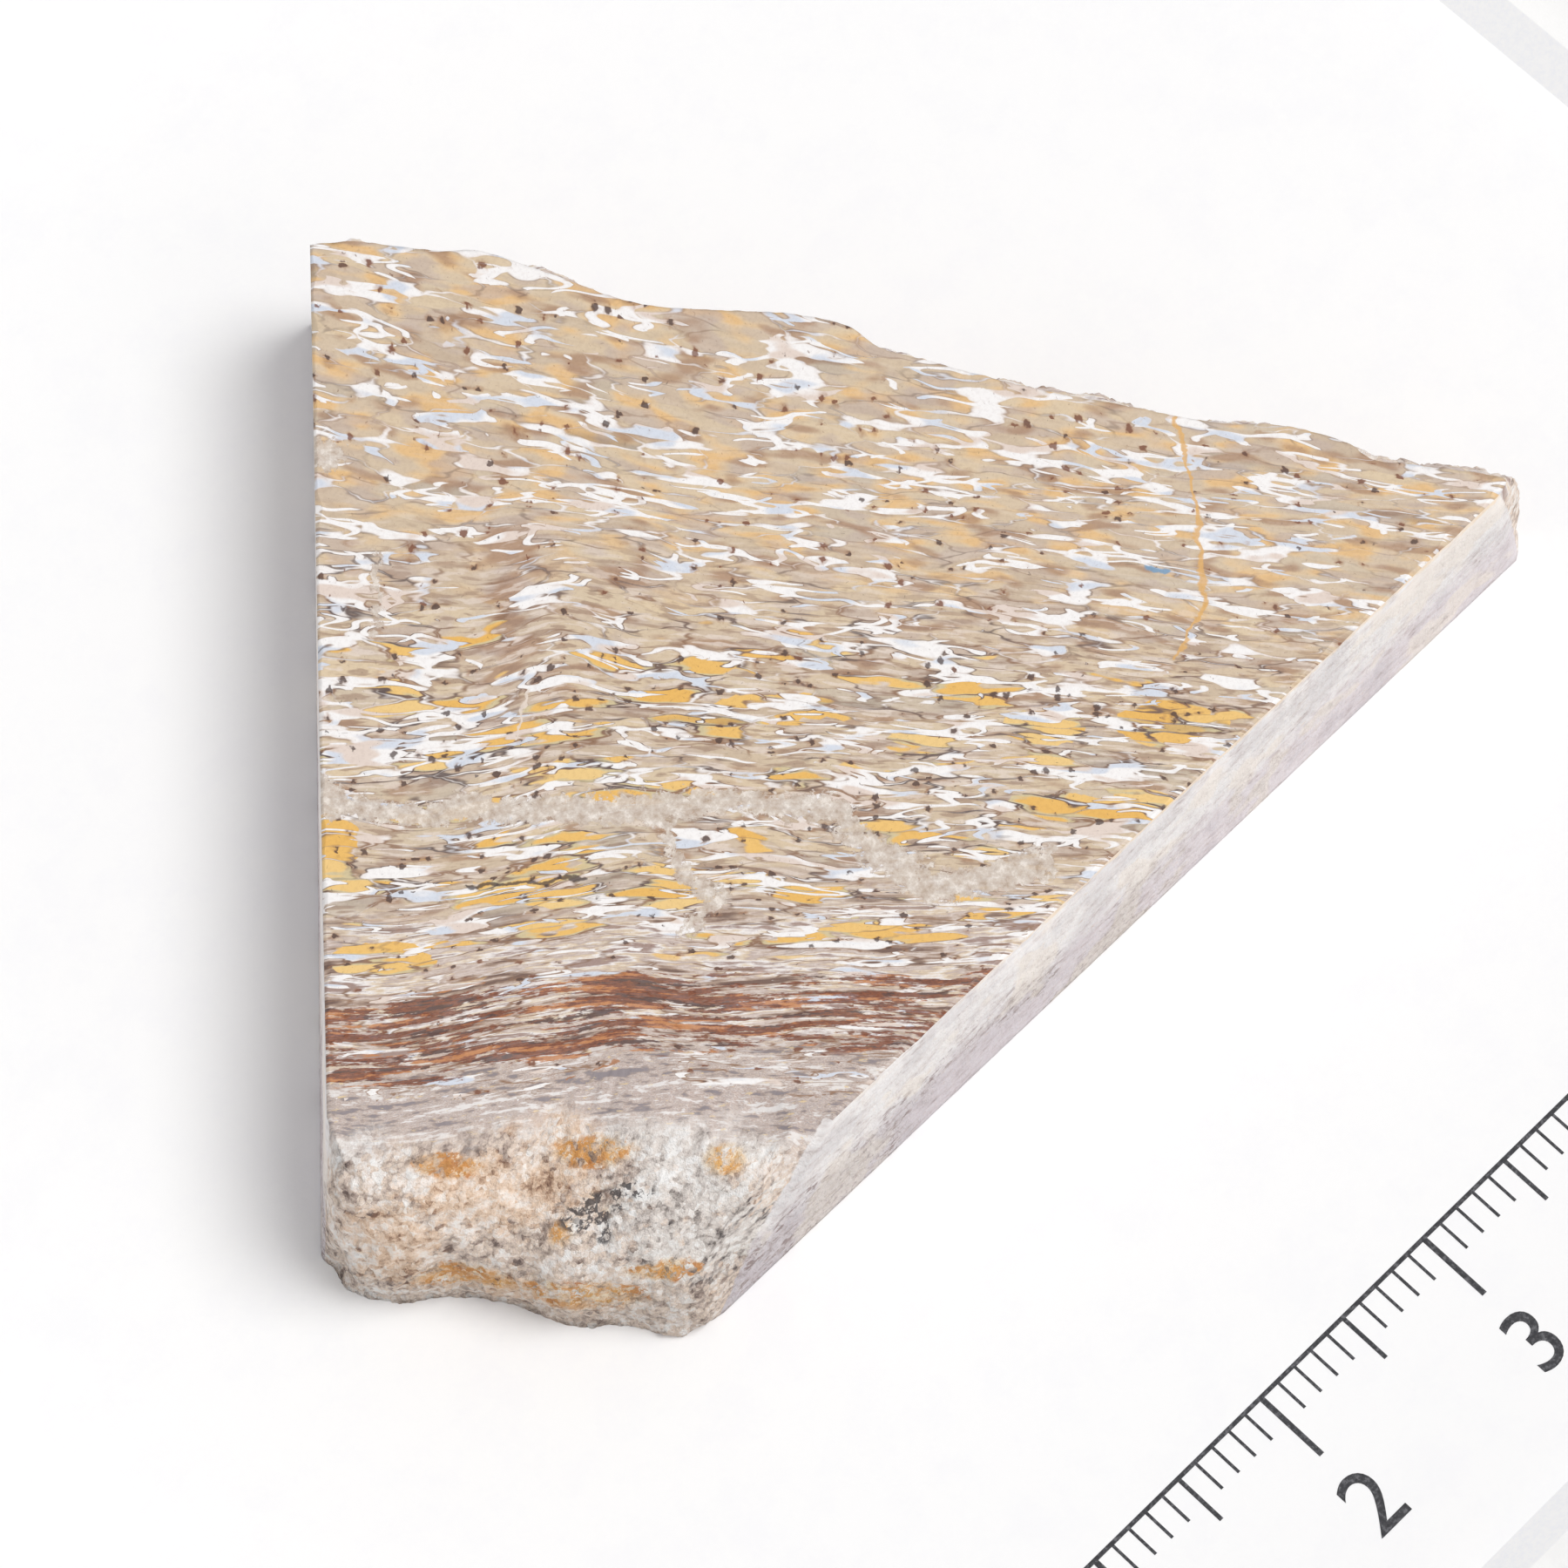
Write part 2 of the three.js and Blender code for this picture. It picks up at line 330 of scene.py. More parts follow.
# %% The four sides
SLICE_SIDES = [
    {
        "name": "left sawn side",
        "steps": 26,
        "broken": 0,
        "lumps": 0,
        "hollow": 0,
        "top": [(1.7, 25.6), (-25.8, -4.6)],
        "foot": [(1.9, 26.4), (-28.4, -6.2)],
    },
    {
        "name": "near broken end",
        "steps": 56,
        "broken": 1,
        "lumps": 1,
        "hollow": 0.15,
        "top": [
            (-25.8, -4.6), (-26.6, -6.9), (-24.6, -9.1), (-22.1, -10.0), (-19.8, -10.3), (-17.7, -10.5),
            (-16.2, -11.2), (-14.6, -12.1), (-14.2, -14.2), (-12.2, -16.4), (-11.1, -19.4),
        ],
        "foot": [
            (-28.4, -6.2), (-28.9, -7.4), (-28.8, -8.7), (-27.6, -10.4), (-26.4, -11.3), (-25.2, -12.6),
            (-24.3, -14.2), (-23.5, -16.2), (-21.7, -17.8), (-20.0, -19.5), (-18.2, -20.0),
        ],
    },
    {
        "name": "right sawn side",
        "steps": 30,
        "broken": 0,
        "lumps": 0,
        "hollow": 0,
        "top": [(-11.1, -19.4), (29.0, -19.4)],
        "foot": [(-18.2, -20.0), (31.3, -19.8)],
    },
    {
        "name": "far broken edge",
        "steps": 100,
        "broken": 1,
        "lumps": 0.6,
        "hollow": 0.4,
        "top": [
            (29.0, -19.4), (30.1, -19.2), (29.6, -18.2), (27.9, -15.9), (26.8, -14.4), (26.6, -13.0),
            (25.3, -10.6), (23.4, -8.5), (21.3, -5.3), (19.2, -2.1), (16.9, 2.1), (15.7, 4.4),
            (15.4, 6.3), (13.9, 8.6), (11.4, 11.4), (10.2, 12.8), (9.2, 14.5), (7.6, 18.3),
            (6.7, 20.2), (5.4, 21.5), (3.0, 24.5), (1.7, 25.6),
        ],
        "foot": [
            (31.3, -19.8), (32.4, -19.0), (31.2, -17.0), (29.0, -13.6), (27.2, -10.6), (24.8, -7.0),
            (20.8, -0.8), (18.0, 4.0), (15.8, 8.4), (12.4, 12.6), (10.6, 15.8), (8.8, 19.4),
            (6.6, 22.4), (3.9, 25.4), (1.9, 26.4),
        ],
    },
]
CAD_LEVELS = 13
FINER_STEPS = 4  # steps in this mesh for each step of the CAD model
FINER_LEVELS = 3
LEVELS = FINER_LEVELS * (CAD_LEVELS - 1) + 1
UNDERCUT_TURN = 1.75
CORNER_BLEND = 3
print("levels:", LEVELS, "and steps:", FINER_STEPS * sum(side["steps"] for side in SLICE_SIDES))


# %% Lines round the slice
def smoothed(corners, samples=24):
    """A Catmull-Rom curve through the corners: smooth, and it passes through each of them."""
    padded = np.vstack([corners[:1], corners, corners[-1:]])
    t = np.linspace(0, 1, samples, endpoint=False)[:, None]
    spans = []
    for before, start, end, after in zip(padded, padded[1:], padded[2:], padded[3:]):
        leave = (end - before) / 2
        arrive = (after - start) / 2
        cubic = (2 * start - 2 * end + leave + arrive) * t**3
        square = (3 * end - 3 * start - 2 * leave - arrive) * t**2
        spans.append(cubic + square + leave * t + start)
    return np.vstack(spans + [corners[-1:]])


def step_along(corners, steps, broken):
    """Evenly spaced points on a line of corners. The last one is left to the next side."""
    line = smoothed(np.array(corners)) if broken else np.array(corners)
    lengths = np.append(0, np.cumsum(np.linalg.norm(np.diff(line, axis=0), axis=1)))
    wanted = np.arange(steps) / steps * lengths[-1]
    return np.column_stack([np.interp(wanted, lengths, line[:, axis]) for axis in (0, 1)])


for side in SLICE_SIDES:
    print(side["name"], "from", side["top"][0], "to", side["top"][-1])


# %% [markdown]
# ### Lumps on the broken sides
#
# Broken stone is lumpy at every size. The CAD model's lumps come from a small noise function that is
# easy to repeat in any language, and the same one is used here, so that both models have the same
# lumps. Finer grain than the CAD model needs is added with Blender's own noise.

# %% Noise shared with the CAD model
LUMP_SIZES = [4.2, 1.9, 1.0]
LUMP_HEIGHTS = [0.55, 0.28, 0.12]


def eased(t):
    return t * t * (3 - 2 * t)


def lattice_value(i, j, k):
    wave = np.sin(i * 127.1 + j * 311.7 + k * 74.7) * 43758.5453
    return wave - np.floor(wave)


def value_noise(points):
    """Smooth noise from -1 to 1 at each of many points."""
    cell = np.floor(points)
    i, j, k = np.moveaxis(cell, -1, 0)
    u, v, w = np.moveaxis(eased(points - cell), -1, 0)

    def along(dj, dk):
        return lattice_value(i, j + dj, k + dk) * (1 - u) + lattice_value(i + 1, j + dj, k + dk) * u

    near = along(0, 0) * (1 - v) + along(1, 0) * v
    far = along(0, 1) * (1 - v) + along(1, 1) * v
    return 2 * (near * (1 - w) + far * w) - 1


def lump_at(points):
    total = np.zeros(points.shape[:-1])
    for octave, (size, height) in enumerate(zip(LUMP_SIZES, LUMP_HEIGHTS)):
        total += height * value_noise(points / size + np.array([0, 0, 7 * octave]))
    return total


print(f"lumps reach {sum(LUMP_HEIGHTS):.2f} mm in and out")


# %% Walk round the slice
def walk_slice():
    """Top points, foot points and how broken, lumpy and hollow the side is, at each step."""
    tops, feet, facts = [], [], []
    for side in SLICE_SIDES:
        steps = FINER_STEPS * side["steps"]
        tops.append(step_along(side["top"], steps, side["broken"]))
        feet.append(step_along(side["foot"], steps, side["broken"]))
        from_corner = np.minimum(np.arange(steps), steps - np.arange(steps)) / FINER_STEPS
        share = side["broken"] * eased(np.clip(from_corner / CORNER_BLEND, 0, 1))
        facts.append(np.column_stack([share, share * side["lumps"], share * side["hollow"]]))
    return np.vstack(tops), np.vstack(feet), np.vstack(facts).T


print("points round the top:", len(walk_slice()[0]))


# %% Levels from the sawn top to the foot
def slice_rings():
    """The wall of the slice as an array of levels, steps and x, y, z."""
    top, foot, (broken, lumps, hollow) = walk_slice()
    level = np.linspace(0, 1, LEVELS)[:, None]
    turn = level * UNDERCUT_TURN
    lowest = math.cos(UNDERCUT_TURN)
    out = level * (1 - broken) + np.sin(turn) * broken
    drop = (np.cos(turn) - lowest) / (1 - lowest)
    height = (1 - level) * (1 - broken) + drop * broken
    plan = top + (foot - top) * out[..., None]
    rings = np.concatenate([plan, height[..., None] * SLICE_THICKNESS], axis=2)
    push = (lumps * lump_at(rings) - hollow)[..., None] * outward(rings, FINER_LEVELS, FINER_STEPS)
    push[1:FINER_LEVELS] *= (np.arange(1, FINER_LEVELS) / FINER_LEVELS)[:, None, None]
    return rings + push, broken


RIM_SHARE = {0: 0.25, LEVELS - 1: 0.6}  # how much the first and last rings follow the lumps


def outward(rings, levels_apart=1, steps_apart=1):
    """The direction that each point of the wall faces. The top and foot rings stay level."""
    forward = np.roll(rings, -steps_apart, axis=1) - np.roll(rings, steps_apart, axis=1)
    level = np.arange(len(rings))
    above = rings[np.maximum(level - levels_apart, 0)]
    below = rings[np.minimum(level + levels_apart, len(rings) - 1)]
    normal = np.cross(forward, above - below)
    normal /= np.linalg.norm(normal, axis=2, keepdims=True)
    for ring, share in RIM_SHARE.items():
        normal[ring, :, 2] = 0
        normal[ring] *= share
    return normal


rings, brokenness = slice_rings()
print("wall of the slice:", rings.shape[0], "levels of", rings.shape[1], "points")

# %% [markdown]
# ### Grain, pits and the sawn edge
#
# Up close, the broken sides are grainy and pitted. Fine noise pushes each point in or out by
# about a tenth of a millimetre. Where the saw left a sharp edge, tiny flakes have broken away, so
# the top ring is drawn in a little, more in some places than in others.

# %% Fine grain on the wall
GRAIN = [(0.9, 0.16), (0.42, 0.10), (0.2, 0.06)]  # size and height, in millimetres
GRAIN_STRENGTH = 1.7
SAW_RIPPLE = 0.025
RIPPLE_SIZE = 0.8


def grain_at(point):
    """Ridged noise: it is sharp in the hollows and round on the humps, as crumbled stone is."""
    return sum(height * (abs(noise.noise(point / size)) - 0.35) for size, height in GRAIN)


def add_grain(rings, brokenness):
    facing = outward(rings)
    push = np.zeros(rings.shape[:2])
    for level in range(LEVELS):
        for step in range(rings.shape[1]):
            point = Vector(rings[level, step])
            rough = brokenness[step]
            push[level, step] = GRAIN_STRENGTH * rough * grain_at(point) if rough > 0 else 0
            push[level, step] -= (1 - rough) * SAW_RIPPLE * abs(noise.noise(point / RIPPLE_SIZE))
    return rings + facing * push[..., None]


rings = add_grain(rings, brokenness)
rings[..., 2] = np.clip(rings[..., 2], 0, SLICE_THICKNESS)
rings[-1, :, 2] = 0
rings[0, :, 2] = SLICE_THICKNESS
print(f"grain down to {GRAIN[-1][0]} mm on {np.mean(brokenness > 0):.0%} of the wall")

# %% The worn edge round the sawn top
EDGE_WIDTH = 0.13
FLAKE_WIDTH = 0.35


def edge_width_at(point):
    flake = max(0, noise.noise(point / 1.1) - 0.15) + 0.5 * max(0, noise.noise(point / 0.35) - 0.2)
    return EDGE_WIDTH + FLAKE_WIDTH * flake


def worn_rim(rings, brokenness):
    """Draws the top ring in, and lowers a ring at the old outline where the side is sawn."""
    forward = np.roll(rings[0], -1, axis=0) - np.roll(rings[0], 1, axis=0)
    inward = np.cross([0, 0, 1], forward)
    inward /= np.linalg.norm(inward, axis=1, keepdims=True)
    width = np.array([edge_width_at(Vector(point)) for point in rings[0]])
    rim = rings[0] + inward * width[:, None]
    shoulder = rings[0].copy()
    shoulder[:, 2] -= 0.8 * width * (1 - brokenness)
    return np.concatenate([rim[None], shoulder[None], rings[1:]])


rings = worn_rim(rings, brokenness)
print("rings with the worn edge:", len(rings))

# %% [markdown]
# ### Closing the top and the foot
#
# A wall of rings is open at both ends. One big many-sided face would close it, but a face like that
# can't carry any relief. A Delaunay mesh fills the outline with small, even triangles instead, and
# their inner corners can then be moved a little up and down.

# %% Fill an outline with triangles
TRIANGLE_HEIGHT = 0.87  # of a triangle with equal sides, next to its base
TOP_SPACING = 0.36


def filled(outline, spacing):
    """Inner points and triangles of a flat shape. Indexes below len(outline) are its own points."""
    count = len(outline)
    corners = [Vector(point[:2]) for point in outline]
    edges = [(i, (i + 1) % count) for i in range(count)]
    if spacing:
        low, high = np.min(outline, axis=0), np.max(outline, axis=0)
        columns = np.arange(low[0] + spacing / 2, high[0], spacing)
        rows = np.arange(low[1] + spacing / 2, high[1], spacing * TRIANGLE_HEIGHT)
        for number, y in enumerate(rows):
            shift = spacing / 2 * (number % 2)
            corners += [Vector((x + shift, y)) for x in columns]
    points, _, faces, _, _, _ = geometry.delaunay_2d_cdt(corners, edges, [], 1, 1e-5)
    inside = sorted({index for face in faces for index in face if index >= count})
    number = {index: count + place for place, index in enumerate(inside)}
    faces = [[number.get(index, index) for index in face] for face in faces]
    return [tuple(points[index]) for index in inside], faces


top_inner, top_faces = filled(rings[0][:, :2], TOP_SPACING)
print("sawn top:", len(top_faces), "triangles")


# %% Relief of the sawn top
TOP_RELIEF = 0.02
CRUMBLED_FROM = -21.0  # across the layers
CRUMBLED_FADE = 1.2
CRUMBLED_DEPTH = 0.22


def top_height(x, y):
    """The saw leaves the top almost flat. Soft spots are worn, and the broken end is crumbled."""
    soft = noise.fractal(Vector((x, y, 4.0)) / 1.6, 1.0, 2.0, 3)
    beyond = (CRUMBLED_FROM - (x + y) / math.sqrt(2)) / CRUMBLED_FADE
    crumbled = eased(min(max(beyond, 0), 1))
    wide_pits = abs(noise.noise(Vector((x, y, 9.0)) / 0.7))
    small_pits = abs(noise.noise(Vector((x, y, 5.0)) / 0.35))
    crumbs = CRUMBLED_DEPTH * crumbled * (wide_pits + 0.5 * small_pits)
    return SLICE_THICKNESS - TOP_RELIEF * max(0, soft) - crumbs


print(f"the crumbled strip lies {SLICE_THICKNESS - top_height(-15, -17):.2f} mm low at one place")


# %% Build the slice
def facing_up(points, face):
    a, b, c = (points[index] for index in face)
    return (b[0] - a[0]) * (c[1] - a[1]) - (b[1] - a[1]) * (c[0] - a[0]) > 0


def make_slice(rings):
    levels, count = rings.shape[:2]
    wall_points = rings.reshape(-1, 3)
    inner = np.array([(x, y, top_height(x, y)) for x, y in top_inner])
    points = np.vstack([wall_points, inner])
    faces = []
    for level in range(levels - 1):
        for step in range(count):
            ahead = (step + 1) % count
            here, below = level * count, (level + 1) * count
            faces.append((here + step, below + step, below + ahead, here + ahead))
    for face in top_faces:
        joined = [index if index < count else index - count + len(wall_points) for index in face]
        faces.append(joined if facing_up(points, joined) else joined[::-1])
    last = (levels - 1) * count
    _, foot_faces = filled(rings[-1][:, :2], None)
    for face in foot_faces:
        joined = [last + index for index in face]
        faces.append(joined[::-1] if facing_up(points, joined) else joined)
    return points, faces


points, faces = make_slice(rings)
mesh = bpy.data.meshes.new("slice_stone")
mesh.from_pydata([tuple(point) for point in (points + [0, 0, CARD_TOP]) * MM], [], faces)
mesh.validate()
slice_stone = bpy.data.objects.new("slice_stone", mesh)
bpy.context.scene.collection.objects.link(slice_stone)
print("slice:", len(mesh.vertices), "points,", len(mesh.polygons), "faces")

# %% [markdown]
# ### Where things are inside the bone
#
# The layers of the bone bend, and its look changes from one end to the other. A finish could work all
# that out from nodes, but it would be slow, and hard to read. Here each point of the mesh is given a
# few numbers in plain Python, such as its place along and across the bent layers. Blender blends them
# smoothly between the points, and the finish reads them with Attribute nodes.

# %% Directions in the bone
def smooth_step(value, start, end):
    return eased(np.clip((value - start) / (end - start), 0, 1))


def spread_noise(points, sizes, shift=0.0):
    return value_noise(points / np.array(sizes) + shift)


grain = np.column_stack([
    (points[:, 0] - points[:, 1]) / math.sqrt(2),
    (points[:, 0] + points[:, 1]) / math.sqrt(2),
    points[:, 2],
])
along, across, up = grain.T
print(f"along the layers {along.min():.1f} to {along.max():.1f} mm, "
      f"across them {across.min():.1f} to {across.max():.1f} mm")

# %% Bent layers
KINK_LIFT = 1.2
TOP_TILT = 0.19

kink_start = np.interp(across, [-14, -2], [-13.5, -9.8])
kink_end = np.interp(across, [-14, -2], [-3.0, -5.2])
kink = KINK_LIFT * smooth_step(along, kink_start, kink_end) * smooth_step(across, 8.5, 4.5)
tilt = TOP_TILT * along * smooth_step(across, -13, 12)
waves = 0.42 * spread_noise(grain, (8, 5, 9)) + 0.16 * spread_noise(grain, (2.6, 2.0, 3), 5)
layer = across - kink + tilt + waves
print(f"the layers bend by up to {np.abs(layer - across).max():.1f} mm")

# %% [markdown]
# The cells are tall at the wide end and get flatter towards the short end, until they are only thin
# layers. Counting rows of cells instead of millimetres lets one pattern cover all of it.

# %% Rows of cells
ROW_EDGES = [-34, -20, -16, -12, -4, 6, 24]  # millimetres across the layers
ROW_HEIGHTS = [0.42, 0.42, 0.46, 0.60, 0.76, 0.88]
row_counts = np.append(0, np.cumsum(np.diff(ROW_EDGES) / ROW_HEIGHTS))
row = np.interp(layer, ROW_EDGES, row_counts)
print(f"{row.max() - row.min():.0f} rows of cells")

# %% Where the stone is white, yellow, rusty or layered
WHITE_SPOTS = [  # place along and across, half length and half height, and how much white is added
    ((-15.5, 1.0), (3.4, 5.6), 0.9),
    ((-13.0, -5.0), (4.5, 1.6), 0.8),
    ((-9.5, 2.4), (1.8, 2.6), -0.9),
    ((8.0, -7.4), (4.2, 0.8), 0.9),
    ((8.0, 0.6), (6.0, 2.4), 0.3),
]
YELLOW_BODIES = [  # place along and across, half length and half height, and how solid they are
    ((20.2, -3.7), (2.3, 1.1), 3.2),
    ((14.6, -3.9), (2.0, 0.8), 2.4),
    ((17.0, -7.6), (3.6, 0.9), 3.2),
    ((-4.2, -11.5), (5.0, 0.9), 2.8),
    ((4.5, -3.0), (4.0, 0.7), 1.8),
    ((-12.8, -14.6), (2.2, 0.8), 2.8),
    ((7.5, -13.3), (4.0, 0.9), 2.0),
    ((-15.4, -9.2), (1.6, 1.4), 2.4),
    ((-7.0, -4.6), (5.5, 1.5), 1.8),
    ((10.5, -4.6), (3.0, 1.2), 1.8),
]


def reach_from(centre, size):
    """How far each point is from a centre, counted in sizes, so that 1 is the edge of an oval."""
    offset = grain[:, : len(centre)] - np.array(centre)
    return np.linalg.norm(offset / np.array(size), axis=1)


white = 0.8 - 0.12 * smooth_step(layer, 7, 2) + 0.2 * smooth_step(layer, -3, -6)
for centre, size, change in WHITE_SPOTS:
    white += change * smooth_step(reach_from(centre, size), 1.4, 0.5)
white *= 0.25 + 0.75 * smooth_step(layer, -15, -12)
white *= smooth_step(layer, -20, -17)
yellow = 0.72 * smooth_step(layer, 1.5, -3) * smooth_step(layer, -17, -13)
for centre, size, solid in YELLOW_BODIES:
    yellow = np.maximum(yellow, solid * smooth_step(reach_from(centre, size), 1.3, 0.7))
layered = smooth_step(layer + 1.0 * spread_noise(grain, (3.5, 1.2, 3), 9), -11.6, -14.2)
patchy_rust = 0.95 + 0.3 * spread_noise(grain, (2.6, 0.9, 3), 13) - 0.3 * smooth_step(along, -1, 4)
rust = smooth_step(layer, -20.5, -19.5) * smooth_step(layer, -15.8, -16.7) * patchy_rust
warm = smooth_step(layer, -1, 6)
ashen = smooth_step(layer, -18.6, -20.2)
from_fold = np.abs(along + 8.2 + 1.4 * waves)
crushed = smooth_step(from_fold, 2.4, 0.6) * smooth_step(np.abs(across - 0.4), 6.5, 4)
print(f"yellow may show at {np.mean(yellow > 0.5):.0%} of the points, rust at {np.mean(rust > 0.5):.0%}")

# %% [markdown]
# ### Veins and stains
#
# The bone cracked while it lay buried, and the cracks filled with pale, grainy calcite. A vein is every
# point that is close to a line with a few bends. Stains are ovals with soft edges.

# %% Distance to the veins
VEINS = [  # two ends and half the width, along and across
    ((-17.5, -4.6), (-15.6, -7.6), 0.75),
    ((-15.6, -7.6), (-11.0, -7.9), 0.55),
    ((-11.0, -7.9), (0.0, -7.4), 0.66),
    ((0.0, -7.4), (6.2, -7.8), 0.55),
    ((-1.2, -8.4), (-0.4, -10.6), 0.38),
    ((-0.4, -10.6), (1.0, -11.7), 0.42),
    ((1.0, -11.7), (-0.2, -13.2), 0.34),
    ((6.0, -7.8), (7.4, -10.0), 0.48),
    ((7.4, -10.0), (10.2, -11.2), 0.62),
    ((10.2, -11.2), (14.8, -10.4), 0.75),
    ((-17.0, 9.6), (-15.6, 9.0), 0.7),
    ((-13.5, 4.4), (-13.9, 0.2), 0.16),
]


def distance_to_stretch(start, end):
    start, end = np.array(start), np.array(end)
    reach = end - start
    share = np.clip((wavy - start) @ reach / (reach @ reach), 0, 1)
    return np.linalg.norm(wavy - start - share[:, None] * reach, axis=1)


waver = np.column_stack([spread_noise(grain, (1.9, 1.9, 3), shift) for shift in (20, 40)])
wavy = grain[:, :2] + 0.42 * waver
vein = np.min([distance_to_stretch(start, end) - half for start, end, half in VEINS], axis=0)
print(f"in a vein: {np.mean(vein < 0):.1%} of the points")

# %% Stains on the broken end
STAINS = {  # place along, across and up, and half the size each way
    "orange": [
        ((-4.1, -22.8, 8.0), (1.5, 0.5, 0.8)), ((-10.0, -23.6, 8.4), (1.3, 0.4, 0.7)),
        ((-9.2, -26.3, 2.8), (2.2, 0.8, 0.7)), ((-4.7, -27.3, 3.0), (2.4, 0.8, 0.9)),
        ((-1.1, -26.8, 4.6), (1.5, 0.5, 0.45)), ((1.4, -23.2, 8.1), (0.8, 0.6, 0.6)),
        ((-5.4, -25.6, 5.4), (0.5, 0.4, 1.0)), ((-3.2, -24.6, 6.2), (0.7, 0.4, 0.5)),
    ],
    "black": [
        ((-4.5, -25.2, 6.4), (1.0, 0.5, 0.7)), ((-3.5, -24.6, 6.8), (1.0, 0.4, 0.6)),
        ((-3.6, -25.7, 6.0), (0.35, 0.3, 0.4)), ((-2.3, -24.3, 7.5), (0.8, 0.35, 0.4)),
    ],
    "grey": [
        ((0.2, -25.0, 5.6), (4.4, 2.6, 3.2)), ((-14.4, -22.6, 8.4), (1.5, 1.2, 1.6)),
        ((0.5, -22.2, 8.6), (5.0, 1.2, 1.6)),
    ],
    "peach": [
        ((-5.9, -21.9, 8.3), (1.9, 0.9, 1.2)), ((-8.6, -24.4, 7.2), (4.0, 1.4, 2.4)),
        ((-12.5, -25.8, 5.0), (2.0, 1.4, 3.2)), ((-7.5, -27.0, 2.4), (4.5, 1.4, 1.4)),
    ],
}
stain = {
    name: np.max([smooth_step(reach_from(*spot), 1.6, 0.4) for spot in spots], axis=0)
    for name, spots in STAINS.items()
}
print("stained points:", {name: int(np.sum(values > 0.5)) for name, values in stain.items()})

# %% Broken and sawn sides
RAW_LINE = [  # where the broken grains begin, along and across
    (-15, -21.9), (-12, -22.8), (-9.5, -22.8), (-6, -21.2), (-3, -21.9), (2, -22.0), (6, -22.6),
]
BROKEN_TOP = -20.7  # beyond this the top wears the finish of the sides

levels, count = rings.shape[:2]
wall_count = levels * count
broken = np.ones(len(points))
broken[:wall_count] = np.tile(np.minimum(3 * brokenness, 1), levels)
broken[: 2 * count] = np.maximum(broken[: 2 * count], across[: 2 * count] < BROKEN_TOP + 1)
below_top = SLICE_THICKNESS - up
raw_start = np.interp(along, *zip(*RAW_LINE))
ragged = 0.7 * spread_noise(grain, (1.3, 1.0, 1.2), 60) + 0.3 * spread_noise(grain, (0.5,) * 3, 70)
raw_near = smooth_step(across + ragged, raw_start + 0.9, raw_start - 1.1)
raw_far = smooth_step(below_top + 0.9 * spread_noise(grain, (1.6, 1.2, 1.2), 60), 0.2, 2.0)
raw = np.maximum(raw_near, raw_far * smooth_step(along - across, 10, 16))
print(f"raw grains: {np.mean(raw > 0.5):.0%} of the points")

# %% Store the numbers on the mesh
MARKS = {
    "bone_place": (along, row, up),
    "bone_zone": (white, yellow, layered),
    "bone_mark": (vein, rust, warm),
    "bone_wall": (broken, raw, below_top),
    "bone_stain": (stain["orange"], stain["black"], stain["grey"]),
    "bone_tone": (stain["peach"], ashen, crushed),
}
for name, values in MARKS.items():
    attribute = mesh.attributes.new(name, "FLOAT_VECTOR", "POINT")
    attribute.data.foreach_set("vector", np.column_stack(values).ravel())

wall_faces = (levels - 1) * count
for polygon in mesh.polygons:
    is_wall = polygon.index < wall_faces
    on_rim = polygon.index < count
    beyond = bool(across[polygon.vertices[0]] < BROKEN_TOP)
    polygon.use_smooth = is_wall or beyond
    polygon.material_index = 1 if beyond or (is_wall and not on_rim) else 0
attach(slice_stone, "root")
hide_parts("bone_slice")
print("stored on the mesh:", ", ".join(MARKS))

# %% [markdown]
# ## The finish of the sawn top
#
# Dinosaur bone was a fine honeycomb of thin walls. Minerals filled the hollows with tan and yellow
# stone, and turned the walls white. Burial squashed the honeycomb flat, so its cells are long and thin.
# A Voronoi pattern gives such cells when it is stretched along the layers, and bending its place first
# makes the cells bend too.


# %% Helpers that read the mesh's numbers
LAYER_TURN = math.radians(45)  # the layers lie at this angle across the card


def read_marks(finish, name):
    """The three numbers that the mesh stores under one name."""
    return finish.split(finish.node("Attribute", {}, output="Vector", attribute_name=name))


def layer_clouds(finish, spot, sizes, shift=0.0, **settings):
    """Three clouds that are long in the direction of the layers. Another shift gives other clouds."""
    along, row, _ = spot
    where = finish.stretched(along, row + shift, 0, (*sizes, 1))
    return finish.three_clouds(where, flat=True, **settings)


# %% Places and zones for the sawn top
top = Finish("fossil_bone_sawn_top")
top_spot = read_marks(top, "bone_place")
white_zone, yellow_zone, layered_zone = read_marks(top, "bone_zone")
vein_gap, rust_zone, warm_zone = read_marks(top, "bone_mark")
_, ashen_zone, crushed_zone = read_marks(top, "bone_tone")
print("marks read with", len(top.tree.nodes), "nodes")

# %% [markdown]
# ### Cells and walls
#
# A Voronoi node can give the distance to the nearest wall, and a softened one the distance to the
# middle of a cell. The stone is white close to a wall, and also far from every middle. So the filled
# cells come out as ovals, and white fills the corners between them. A cloud sets both distances: the
# white swells to streaks in some places and shrinks to brown hairlines in others.

# %% Cells
CELL_LENGTH = 3.4

cell_place = top.stretched(top_spot[0], top_spot[1], 0, (CELL_LENGTH, 1.0, 1.0))
cell_place = top.bent(cell_place, 1.2, (0.8, 1.1, 0), detail=2, flat=True)
wall_distance = top.cells(cell_place, feature="DISTANCE_TO_EDGE", flat=True)
from_middle = top.cells(cell_place, flat=True)
soft_middle = top.cells(cell_place, feature="SMOOTH_F1", flat=True, smoothness=0.35)
pick_stone, pick_yellow, pick_shade = top.split(from_middle.beside("Color"))

